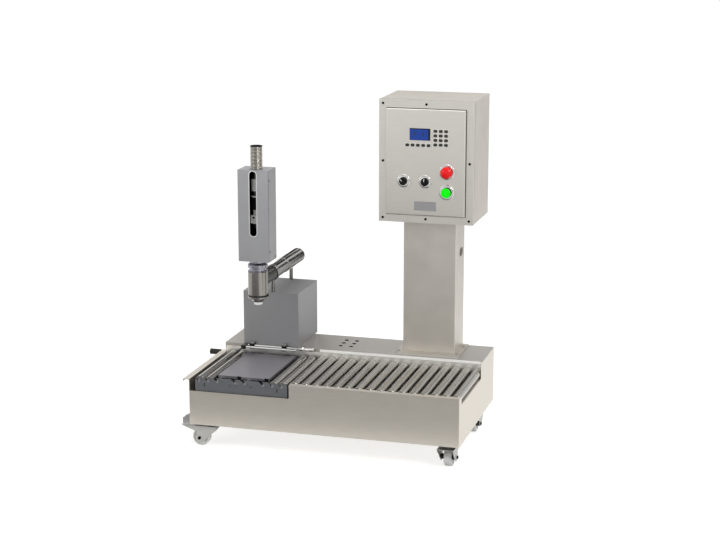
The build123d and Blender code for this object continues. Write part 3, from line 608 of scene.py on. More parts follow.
DARK = Wear("hole", "black_plastic")


def new_object(name: str, data: bpy.types.ID) -> bpy.types.Object:
    """Makes an object and links it to the scene.

    Args:
        name: the object's name.
        data: its mesh, lamp or camera.

    Returns:
        The object.
    """
    made = bpy.data.objects.new(name, data)
    bpy.context.scene.collection.objects.link(made)
    return made


def make_piece(
    name: str, mesh: Mesh, wear: Wear, replaces: tuple[str, ...] = (), bevel_mm: float = 0.0
) -> bpy.types.Object:
    """Makes an object of a mesh, closes and smooths it, gives it its finish and sets it on its body.

    Args:
        name: the piece's name.
        mesh: vertices and faces, in the row frame.
        wear: its finish, slot and body.
        replaces: CAD nodes that it stands for.
        bevel_mm: width of rounded edges.

    Returns:
        The object.
    """
    data = bpy.data.meshes.new(name)
    data.from_pydata(mesh[0].tolist(), [], mesh[1])
    shell = bmesh.new()
    shell.from_mesh(data)
    bmesh.ops.remove_doubles(shell, verts=shell.verts, dist=1e-6)
    bmesh.ops.recalc_face_normals(shell, faces=shell.faces)
    shell.to_mesh(data)
    shell.free()
    data.shade_smooth()
    data.set_sharp_from_angle(angle=SHARP_ANGLE)
    data.materials.append(Palette.get(wear.finish))
    piece = new_object(name, data)
    if bevel_mm:
        rounding = piece.modifiers.new("eased_edges", "BEVEL")
        rounding.width = bevel_mm * MM
        rounding.segments = 3
        rounding.limit_method = "ANGLE"
        rounding.harden_normals = True
    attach(piece, wear.body)
    if replaces:
        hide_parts(*replaces)
    LOG.info("%s: %d faces on %s", name, len(data.polygons), wear.body)
    return piece


def dress(nodes: Nodes, finishes: dict[str, str]) -> None:
    """Gives CAD nodes their finishes.

    Args:
        nodes: the frame's nodes.
        finishes: node name to the finish's name in the palette.
    """
    for name, finish in finishes.items():
        materials = nodes[name].data.materials
        materials.clear()
        materials.append(Palette.get(finish))
        LOG.info("%s dressed in %s", name, finish)


# Sub-assemblies


def band(inner: float, outer: float, low: float, high: float) -> list[tuple[float, float]]:
    """Outline of a plain ring, or of a solid bar where the inner radius is zero."""
    return [(inner, low), (outer, low), (outer, high), (inner, high)]


def lathe(
    name: str, outline_mm: list, origin: Place, axis: Place, wear: Wear,
    replaces: tuple[str, ...] = (), ease_mm: float = 0.6,
) -> bpy.types.Object:
    """Makes a turned piece: radius and height in millimetres about an axis through the origin.

    Args:
        name: the piece's name.
        outline_mm: a loop of radius and height, or a line whose two ends lie on the axis.
        origin: where height zero lies, in metres.
        axis: direction of growing height.
        wear: its finish, slot and body.
        replaces: CAD nodes that it stands for.
        ease_mm: size of the rounded corners.

    Returns:
        The object.
    """
    outline = np.array(outline_mm, float) * MM
    loop = outline[0, 0] > 0
    mesh = turned(eased(outline, ease_mm * MM, closed=loop), closed=loop)
    piece = make_piece(name, placed(mesh, origin, axis), wear, replaces)
    weighting = piece.modifiers.new("face_weighted_normals", "WEIGHTED_NORMAL")
    weighting.keep_sharp = True
    return piece


def stack(
    rows: tuple, origin: Place, axis: Place, slot: str,
    body: str = "machine", replaces: tuple[str, ...] = (),
) -> None:
    """Turns several pieces about one axis.

    Args:
        rows: name, finish, size of the rounded corners and outline of each piece.
        origin: where height zero lies, in metres.
        axis: direction of growing height.
        slot: the record's material slot.
        body: the body that they ride on.
        replaces: CAD nodes that the first one stands for.
    """
    for number, (name, finish, ease_mm, outline_mm) in enumerate(rows):
        lathe(name, outline_mm, origin, axis, Wear(finish, slot, body), () if number else replaces, ease_mm)


def slab(
    name: str, outline_mm: np.ndarray, origin: Place, axis: Place, height_mm: float, wear: Wear,
    replaces: tuple[str, ...] = (), bevel_mm: float = 0.0,
) -> bpy.types.Object:
    """Makes a flat piece: an outline in millimetres carried along an axis from the origin.

    Args:
        name: the piece's name.
        outline_mm: closed outline square to the axis.
        origin: the outline's zero, in metres.
        axis: direction of the thickness.
        height_mm: thickness.
        wear: its finish, slot and body.
        replaces: CAD nodes that it stands for.
        bevel_mm: width of rounded edges.

    Returns:
        The object.
    """
    mesh = prism(outline_mm * MM, height_mm * MM)
    return make_piece(name, placed(mesh, origin, axis), wear, replaces, bevel_mm)


def ring_between(outer_mm: np.ndarray, inner_mm: np.ndarray, height_mm: float) -> Mesh:
    """A flat ring between two outlines with the same number of points, from zero to its height.

    Args:
        outer_mm: outer outline.
        inner_mm: inner outline.
        height_mm: thickness.

    Returns:
        Vertices in metres and faces.
    """
    loops = [(outer_mm, 0.0), (outer_mm, height_mm), (inner_mm, height_mm), (inner_mm, 0.0)]
    return raised(loops) * MM, grid_faces(4, len(outer_mm), True, True)


def holed_plate(width: float, height: float, middle: tuple[float, float], radius: float) -> tuple:
    """A rectangle about zero and a circle in it, point for point along rays from the circle's middle.

    A ray (cos a, sin a) from the middle m meets the rectangle at the least of (half - m) / cos a and the
    same for sin a.

    Args:
        width: the rectangle's size along x.
        height: the rectangle's size along y.
        middle: the circle's middle.
        radius: the circle's radius.

    Returns:
        The rectangle's points and the circle's points.
    """
    half, centre = np.array([width, height]) / 2, np.array(middle)
    corner = np.array([(1, 1), (-1, 1), (-1, -1), (1, -1)]) * half - centre
    angle = np.append(np.linspace(0, 2 * np.pi, FINE_STEPS, endpoint=False), np.arctan2(*corner.T[::-1]))
    angle = np.unique(np.round(angle % (2 * np.pi), 6))
    ray = np.column_stack([np.cos(angle), np.sin(angle)])
    reach = ((half - centre * np.sign(ray)) / np.maximum(np.abs(ray), 1e-9)).min(axis=1)
    return centre + ray * reach[:, None], centre + ray * radius


def stadium(length: float, width: float, steps: int = 24) -> np.ndarray:
    """A slot's outline along y: two half circles of the width's radius, joined by straight sides.

    Args:
        length: whole length along y.
        width: size along x.
        steps: points on each half circle.

    Returns:
        The outline's points.
    """
    radius, reach = width / 2, (length - width) / 2
    angle = np.linspace(0, np.pi, steps)
    arc = radius * np.column_stack([np.cos(angle), np.sin(angle)])
    return np.vstack([arc + (0, reach), -arc - (0, reach)])


def eased_copy(nodes: Nodes, node: str, wear: Wear, bevel_mm: float) -> bpy.types.Object:
    """Stands in for a CAD node with the same surface, its flat faces joined and its edges rounded.

    Args:
        nodes: the frame's nodes.
        node: the CAD node.
        wear: its finish, slot and body.
        bevel_mm: width of the rounded edges.

    Returns:
        The object.
    """
    source = nodes[node]
    points = np.empty(len(source.data.vertices) * 3)
    source.data.vertices.foreach_get("co", points)
    world = np.array(source.matrix_world)
    points = points.reshape(-1, 3) @ world[:3, :3].T + world[:3, 3]
    faces = [list(face.vertices) for face in source.data.polygons]
    piece = make_piece(f"{node}_eased", (points, faces), wear, (node,), bevel_mm)
    shell = bmesh.new()
    shell.from_mesh(piece.data)
    bmesh.ops.dissolve_limit(shell, angle_limit=math.radians(0.5), verts=shell.verts, edges=shell.edges)
    shell.to_mesh(piece.data)
    shell.free()
    piece.data.set_sharp_from_angle(angle=SHARP_ANGLE)
    return piece


@dataclass
class Tray:
    """The tray, its deck and the frame inside it; sizes in millimetres."""

    nodes: Nodes
    stub_radius: float = 13.5
    stub_bore: float = 11.5
    stub_length: float = 57.0
    stub_place: tuple[float, float] = (506.0, 200.0)
    skin: float = 0.1
    lip_height: float = 13.0
    hole_first: tuple[float, float] = (548.0, 85.0)
    hole_pitch: float = 51.0
    hole_radius: float = 7.0

    def build(self) -> None:
        """Dresses the sheet metal and the frame, and adds the lip's strip of painted highlight, the stub's
        tube and the bushes.
        """
        finishes = {"base_tray": "tray", "deck_plate": "deck", "base_frame": "rail", "roller_axles": "rod"}
        dress(self.nodes, finishes | {"corner_bracket": "fork", "castor_pads": "zinc"})
        tray, deck = NodeBox("base_tray"), NodeBox("deck_plate")
        left = min(NodeBox(node).low[0] for node in ("lane_roller_01", "lane_roller_16"))
        # A thin pale sheet in front of the deck's lip: a painted highlight where the lip shows white.
        painted_lip_strip = rectangle((deck.high[0] - left) / MM - 8, self.lip_height)
        place = ((left + deck.high[0]) / 2, deck.low[1], deck.middle[2])
        slab("lane_lip_painted_highlight", painted_lip_strip, place, FRONT, 0.4, Wear("painted_lip_strip", "tray_paint"))
        end = tray.low + np.array([0, *self.stub_place]) * MM
        tube = band(self.stub_bore - self.skin, self.stub_radius + self.skin, 0, self.stub_length)
        lathe("drain_stub_tube", tube, end, RIGHT, Wear("dark_polish_and_painted_shade", "tray_paint"))
        bush = band(self.hole_radius - 1.5, self.hole_radius + 2, 0, 1.2)
        for column in range(2):
            for row in range(3):
                x = deck.low[0] + (self.hole_first[0] + column * self.hole_pitch) * MM
                y = deck.low[1] + (self.hole_first[1] + row * self.hole_pitch) * MM
                lathe(f"cable_bush_{column}{row}", bush, (x, y, deck.high[2]), UP, DARK)


@dataclass
class RollerLane:
    """Rollers of the lane and of the weighing section: thin tubes closed by recessed bearing caps."""

    nodes: Nodes
    wall: float = 1.5 * MM
    edge: float = 1.0 * MM
    cap_recess: float = 1.2 * MM
    bearing_radius: float = 12.5 * MM
    bore: float = 6.3 * MM

    def roller(self, node: str) -> None:
        """Turns one roller: the tube's rim stands past its cap, which has a groove round its bearing.

        Args:
            node: the roller's node.
        """
        box = NodeBox(node)
        radius, length = box.size[2] / 2, box.size[1]
        half = [
            (self.bore, length / 2),
            (self.bore, self.cap_recess),
            (self.bearing_radius - 1.0 * MM, self.cap_recess),
            (self.bearing_radius, self.cap_recess + 0.8 * MM),
            (self.bearing_radius + 1.0 * MM, self.cap_recess),
            (radius - self.wall, self.cap_recess),
            (radius - self.wall, 0.0),
            (radius - self.edge, 0.0),
            (radius, self.edge),
        ]
        far = [(r, length - h) for r, h in half[::-1]][:-1]
        mesh = placed(turned(np.array(half + far)), (box.middle[0], box.high[1], box.middle[2]), FRONT)
        make_piece(f"{node}_tube", mesh, Wear("roller", "steel", node), (node,))

    def build(self) -> None:
        """Builds every roller of the frame."""
        for node in sorted(self.nodes):
            if node.startswith(("lane_roller_", "scale_roller_")):
                self.roller(node)


@dataclass
class WeighingSection:
    """Weighing frame, plate and load cells."""

    nodes: Nodes
    plate_edge: float = 0.8

    def build(self) -> None:
        """Dresses the weighing frame and rounds the plate's folds."""
        dress(self.nodes, {"scale_frame": "scale", "load_cells": "aluminium"})
        eased_copy(self.nodes, "scale_plate", Wear("plate", "steel"), self.plate_edge)


@dataclass
class ContainerStop:
    """Sliding stop: cross block, slide rod with its sleeve, guide rod, dark arm, clamps with screws."""

    nodes: Nodes
    block_length: float = 22.0
    block_depth: float = 50.0
    rod_radius: float = 6.0
    rod_behind: float = 9.0
    guide_radius: float = 5.5
    guide_length: float = 249.0
    guide_behind: float = 41.0
    grip_radius: float = 9.0
    grip_waist: float = 7.5
    grip_length: float = 70.0
    arm_radius: float = 4.0
    arm_length: float = 213.0

    def build(self) -> None:
        """Builds the stop's pieces from its box and dresses the clamps."""
        body = "container_stop"
        box = NodeBox(body)
        z = box.middle[2]
        block = rectangle(self.block_depth, box.size[2] / MM)
        place = (box.low[0], box.high[1] - self.block_depth / 2 * MM, z)
        wear = Wear("dark_polish_and_painted_shade", "rod_steel", body)
        slab("stop_cross_block", block, place, RIGHT, self.block_length, wear, (body,), 1.5)
        start, length = box.low[0] + self.block_length * MM, self.grip_length
        wide, waist = self.grip_radius, self.grip_waist
        grip = [(0, 0), (wide, 0), (wide, 0.2 * length), (waist, 0.26 * length), (waist, 0.44 * length)]
        grip += [(wide, 0.5 * length), (wide, length), (0, length)]
        rod_y, guide_y = box.high[1] - self.rod_behind * MM, box.high[1] - self.guide_behind * MM
        middle = box.low[0] + self.block_length / 2 * MM
        slide = band(0, self.rod_radius, 0, (box.high[0] - start) / MM - length)
        guide = band(0, self.guide_radius, 0, self.guide_length)
        arm = band(0, self.arm_radius, 0, self.arm_length)
        rows = (
            ("stop_slide_rod", "rod", 0.6, slide, (start, rod_y, z), RIGHT),
            ("stop_guide_rod", "rod", 2.0, guide, (start, guide_y, z), RIGHT),
            ("stop_sleeve", "sleeve", 1.5, grip, (box.high[0] - length * MM, rod_y, z), RIGHT),
            ("stop_arm", "rubber_and_painted_shadow", 2.0, arm, (middle, box.low[1], z), REAR),
        )
        for name, finish, ease_mm, outline, place, axis in rows:
            lathe(name, outline, place, axis, Wear(finish, "rod_steel", body), (), ease_mm)
        for name in ("stop_knob_left", "stop_knob_right"):
            eased_copy(self.nodes, name, Wear("zinc", "zinc", name), 0.5)
        eased_copy(self.nodes, "stop_clamps", Wear("dark_polish_and_painted_shade", "steel"), 0.8)


@dataclass
class FillingHead:
    """Head housing, actuator, stem, valve, tip and inlet pipe; heights are millimetres on the node's foot."""

    nodes: Nodes
    housing_wall: float = 4.0
    window: tuple[float, float, float] = (296.0, 32.0, 118.5)
    side_screws: tuple[tuple[float, float], ...] = ((16.5, 372.5), (18.5, 47.0), (95.0, 12.0))
    rib_pitch: float = 5.5
    rib_depth: float = 1.4
    ribbed_length: float = 107.5
    fork_below_top: float = 124.0
    pipe_radius: float = 38.0
    post_places: tuple[float, float] = (158.0, 434.0)

    @property
    def axis(self) -> np.ndarray:
        """Middle of the nozzle, at its lower end."""
        tip = NodeBox("nozzle_tip")
        return np.array([tip.middle[0], tip.middle[1], tip.low[2]])

    def at_height(self, z: float) -> np.ndarray:
        """A point of the nozzle's axis at a height in metres."""
        return np.array([self.axis[0], self.axis[1], z])

    def housing(self) -> None:
        """The square tube with rounded edges, its window's rim of painted highlight, black sheets of painted
        shade inside, seam and side screws.
        """
        eased_copy(self.nodes, "head_housing", Wear("head", "head_paint"), 1.2)
        box = NodeBox("head_housing")
        length, width, foot = self.window
        middle = (box.middle[0], box.low[1] + 0.6 * MM, box.low[2] + (foot + length / 2) * MM)
        # A pale ring around the window: painted highlight on the window's edge.
        rim = ring_between(stadium(length + 8, width + 8), stadium(length, width), 1.2)
        make_piece("window_painted_highlight_rim", placed(rim, middle, FRONT), Wear("painted_highlight_edge", "head_paint"))
        # Black sheets just inside the walls: painted shade, so the inside reads dark through the window.
        width, depth = box.size[0] / MM - 2 * self.housing_wall, box.size[1] / MM - 2 * self.housing_wall
        walls = [rectangle(1.0, depth, middle=(side * (width / 2 - 0.6), 0)) for side in (-1, 1)]
        walls.append(rectangle(width, 1.0, middle=(0, depth / 2 - 0.6)))
        inset = (self.housing_wall + 0.2) * MM
        inner_shade = joined(*(prism(wall * MM, box.size[2] - 2 * inset) for wall in walls))
        place = (box.middle[0], box.middle[1], box.low[2] + inset)
        make_piece("housing_painted_inner_shade", (inner_shade[0] + place, inner_shade[1]), DARK)
        side = (box.high[0] - 0.2 * MM, box.low[1] + 5 * MM, box.middle[2])
        slab("housing_seam", rectangle(2.4, box.size[2] / MM - 6), side, RIGHT, 0.3, DARK)
        head = [(0, -1.0), (4.5, -1.0), (4.5, 0.5), (2.2, 0.5), (1.8, -0.6), (0, -0.6)]
        for number, (y, z) in enumerate(self.side_screws):
            place = (box.high[0], box.low[1] + y * MM, box.low[2] + z * MM)
            lathe(f"housing_screw_{number}", head, place, RIGHT, DARK, ease_mm=0.2)

    def actuator(self) -> None:
        """Gland, spacer, lock nut, sleeve and collar behind the window, and the ribbed tube on top."""
        box = NodeBox("actuator")
        foot, slot = self.at_height(box.low[2]), "black_plastic"
        top = box.size[2] / MM
        low = top - self.ribbed_length
        rows = (
            ("actuator_gland", "hole", 1.5, band(18.2, 30, 0, 55)),
            ("actuator_spacer", "white", 0.6, band(18.2, 26, 55, 62)),
        )
        stack(rows, foot, UP, slot, replaces=("actuator",))
        nut = ring_between(eased(hexagon(48), 2.0), eased(hexagon(37), 2.0), 21)
        place = self.at_height(box.low[2] + 62 * MM)
        make_piece("actuator_lock_nut", placed(nut, place), Wear("dark_polish_and_painted_shade", slot), (), 0.8)
        collar = [(22, 140), (30, 140), (30, 150), (28, 152), (28, 168), (30, 170), (30, 180.5), (22, 180.5)]
        rows = (
            ("actuator_sleeve", "white", 1.5, band(20, 25, 83, 140)),
            ("actuator_collar", "dark_polish_and_painted_shade", 1.0, collar),
        )
        stack(rows, foot, UP, slot)
        height = np.arange(low, top - 3.0, 0.75)
        radius = 28 - self.rib_depth * (1 - np.cos(2 * np.pi * (height - low) / self.rib_pitch))
        rim = [(27.8, top - 3.0), (22.0, top - 3.0), (22.0, top - 40), (20.0, top - 40), (20.0, low)]
        outline = np.vstack([np.column_stack([radius, height]), rim]) * MM
        make_piece("actuator_tube", placed(turned(outline), foot), Wear("thread", slot))
        rows = (
            ("actuator_rim", "hole", 0.8, band(22, 28, top - 3, top)),
            ("actuator_port_floor", "dark_steel", 0.6, band(0, 21.9, top - 44, top - 40)),
        )
        stack(rows, foot, UP, slot)

    def stem(self) -> None:
        """Plug and rod, dark lock nut, white fork with its pin, and the pale rod above it."""
        box = NodeBox("valve_stem")
        top = box.size[2] / MM
        foot, low = self.at_height(box.low[2]), top - self.fork_below_top
        finishes = ("dark_polish_and_painted_shade", "thread", "white", "hole")
        dark, thread, white, black = (Wear(finish, "rod_steel", "valve_stem") for finish in finishes)
        plug = [(0, 0), (9.6, 0), (13, 3.4), (13, 24), (8, 24), (8, low), (0, low)]
        lathe("stem_plug_rod", plug, foot, UP, thread, ("valve_stem",), 0.5)
        nut_foot = self.at_height(box.low[2] + (low - 23) * MM)
        slab("stem_lock_nut", eased(hexagon(38), 2.0), nut_foot, UP, 20, dark, bevel_mm=1.0)
        lathe("stem_washer", band(8, 22, low - 3, low), foot, UP, white)
        fork = ring_between(*holed_plate(46, 37, (-9, 7.5), 5), 46)
        place = foot + np.array([0, 23, low + 18.5]) * MM
        make_piece("stem_fork", placed(fork, place, FRONT), white, (), 1.5)
        place = foot + np.array([-9, -21, low + 26]) * MM
        lathe("stem_pin_end", band(0, 4.8, 0, 1.0), place, FRONT, black, ease_mm=0.2)
        lathe("stem_upper_rod", band(0, 18, low + 37, top), foot, UP, white, ease_mm=1.0)

    def valve(self) -> None:
        """Outlet cone, clamp ring, body, undercut, disc with its dome and neck, dark seals between them."""
        box = NodeBox("valve_body")
        foot, slot = self.at_height(box.low[2]), "valve_steel"
        cone = [(16.3, 0), (26, 0), (36, 14.5), (46, 14.5), (46, 22), (42, 22), (42, 30), (16.3, 30)]
        cap = [(8.3, 140.5), (45.5, 140.5), (45.5, 143), (38, 145), (38, 157), (46, 157), (46, 171)]
        cap += [(36, 179), (33, 179), (33, 191.5), (8.3, 191.5)]
        rows = (
            ("valve_outlet", "valve", 0.9, cone),
            ("valve_low_seal", "rubber_and_painted_shadow", 0.6, band(42, 43.5, 22, 30)),
            ("valve_barrel", "valve", 1.2, band(37.5, 45.5, 30, 138)),
            ("valve_top_seal", "rubber_and_painted_shadow", 0.3, band(37.5, 44.8, 138, 140.5)),
            ("valve_cap", "valve_cap", 1.2, cap),
        )
        stack(rows, foot, UP, slot, replaces=("valve_body",))
        dark = Wear("dark_polish_and_painted_shade", slot)
        slab("clamp_lug", rectangle(8, 12, 2.0), foot + np.array([43, 0, 28]) * MM, RIGHT, 7.5, dark, (), 0.8)
        start = (self.axis[0], box.high[1], NodeBox("inlet_pipe").high[2] - self.pipe_radius * MM)
        # The spigot's dark colour is a painted reflection of the dark valve and box around it.
        lathe("valve_spigot", band(31, 34, 0, 33), start, FRONT, dark)

    def tip(self) -> None:
        """White tip with a rounded lower edge under a dark seal."""
        rows = (
            ("tip_sleeve", "white", 1.2, [(9, 0), (16.5, 0), (19.5, 3.5), (19.5, 14.5), (9, 14.5)]),
            ("tip_seal", "rubber_and_painted_shadow", 0.6, band(9, 22, 14.5, 18.5)),
            ("tip_collar", "white", 0.3, [(9, 18.5), (16, 18.5), (16, 40.5), (14, 40.5), (9, 35.5)]),
        )
        stack(rows, self.axis, UP, "white_plastic", replaces=("nozzle_tip",))

    def pipe(self) -> None:
        """Inlet pipe: a first stretch made dark as painted shade, two bright rings, welded sleeves, and two
        posts on the box.
        """
        box = NodeBox("inlet_pipe")
        length = box.size[1] / MM
        start = (self.axis[0], box.low[1], box.high[2] - self.pipe_radius * MM)
        run = [(32, 112), (34, 112), (38, 112), (38, 126), (34, 126), (34, 134), (36.5, 134), (36.5, 148)]
        run += [(34, 148), (34, 284), (36, 284), (36, 397), (34, 397), (34, 400), (35, 400), (35, length)]
        run += [(32, length)]
        # The neck's dark colour is painted shade on the short stretch between the valve and the first ring.
        rows = (
            ("pipe_neck", "dark_polish_and_painted_shade", 0.6, band(32, 34, 0, 112)),
            ("pipe_run", "pipe", 1.0, run),
            ("pipe_joint_seal", "rubber_and_painted_shadow", 0.3, band(33, 34.6, 397, 400)),
        )
        stack(rows, start, REAR, "valve_steel", replaces=("inlet_pipe",))
        rise = (start[2] - box.low[2]) / MM - 33
        post = Wear("post", "valve_steel")
        for number, y in enumerate(self.post_places):
            place = (start[0] - 6 * MM, start[1] + y * MM, box.low[2])
            lathe(f"pipe_post_{number}", band(0, 9, 0, rise), place, UP, post, ease_mm=0.8)

    def build(self) -> None:
        """Builds the head from the housing down to the pipe, and the equipment box under it."""
        for build in (self.housing, self.actuator, self.stem, self.valve, self.tip, self.pipe):
            build()
        eased_copy(self.nodes, "equipment_box", Wear("box", "box_paint"), 1.0)


@dataclass
class ControlColumn:
    """Column and control box, with the cover's seal and an outline of painted shadow around the raised panel.
    """

    nodes: Nodes
    panel_size: tuple[float, float] = (366.0, 483.0)
    panel_foot: float = 36.5
    cover_thickness: float = 20.0
    base_side: float = 28.0
    slot_back: float = 68.0
    slot_down: float = 166.0
    slot_size: tuple[float, float] = (66.0, 40.0)

    def build(self) -> None:
        """Rounds the sheet metal's edges and adds the cover's seal, the raised panel's outline of painted
        shadow, the column's shaded slot, the flange's strip of painted highlight and the screws.
        """
        for node, finish, edge in (("column", "cabinet", 1.2), ("enclosure_body", "cabinet", 1.2),
                                   ("enclosure_cover", "panel", 1.6)):
            eased_copy(self.nodes, node, Wear(finish, "cabinet_paint"), edge)
        dress(self.nodes, {"column_bolts": "zinc"})
        box, column = NodeBox("enclosure_body"), NodeBox("column")
        wide, tall = box.size[[0, 2]] / MM
        width, height = self.panel_size
        z = box.low[2] + (self.panel_foot + height / 2) * MM
        front = box.low[1] - self.cover_thickness * MM
        seal = ring_between(rectangle(wide + 0.3, tall + 0.3), rectangle(wide - 30, tall - 30), 2.0)
        # The dark ring around the raised panel is a painted shadow gap, drawn in the black rubber finish.
        line = ring_between(rectangle(width + 5, height + 5, 2.0), rectangle(width - 1, height - 1, 2.0), 0.8)
        rubber_and_painted_shadow = Wear("rubber_and_painted_shadow", "cabinet_paint")
        middle = (box.middle[0], box.low[1] + 1.0 * MM, box.middle[2])
        make_piece("cover_seal", placed(seal, middle, FRONT), rubber_and_painted_shadow)
        make_piece("panel_painted_shadow_outline", placed(line, (box.middle[0], front, z), FRONT), rubber_and_painted_shadow)
        back, down = column.high[1] - self.slot_back * MM, column.high[2] - self.slot_down * MM
        slot = stadium(*self.slot_size)[:, ::-1] * (1, -1)
        place = (column.high[0] - self.base_side * MM, back, down)
        slab("column_slot", slot, place, RIGHT, 0.3, Wear("slot_shade", "cabinet_paint"))
        # A bright strip along the flange's front: painted highlight where the flange reflects the deck in
        # front.
        edge = rectangle(column.size[0] / MM - 2, 5.0)
        place = (column.middle[0], column.low[1] + 0.1 * MM, column.low[2] + 3.5 * MM)
        slab("column_flange_painted_highlight", edge, place, FRONT, 0.4, Wear("painted_highlight_edge", "cabinet_paint"))
        self.screws()

    def screws(self) -> None:
        """Black socket heads of the seven cover screws."""
        box = NodeBox("cover_screws")
        reach = 5.5 * MM
        left, right = box.low[0] + reach, box.high[0] - reach
        low, high = box.low[2] + reach, box.high[2] - reach
        middle_x, middle_z = (left + right) / 2, (low + high) / 2
        places = [(left, high), (middle_x, high), (left, middle_z), (right, middle_z)]
        places += [(left, low), (middle_x, low), (right, low)]
        head = [(0, 0), (3, 0), (3, 13), (5.5, 13), (5.5, 17), (2.4, 17), (2.4, 15), (0, 15)]
        for number, (x, z) in enumerate(places):
            replaces = () if number else ("cover_screws",)
            place = (x, box.high[1], z)
            lathe(f"cover_screw_{number}", head, place, FRONT, Wear("hole", "zinc"), replaces, 0.5)


def rear_middle(box: NodeBox) -> np.ndarray:
    """Middle of a node's rear side."""
    return np.array([box.middle[0], box.high[1], box.middle[2]])


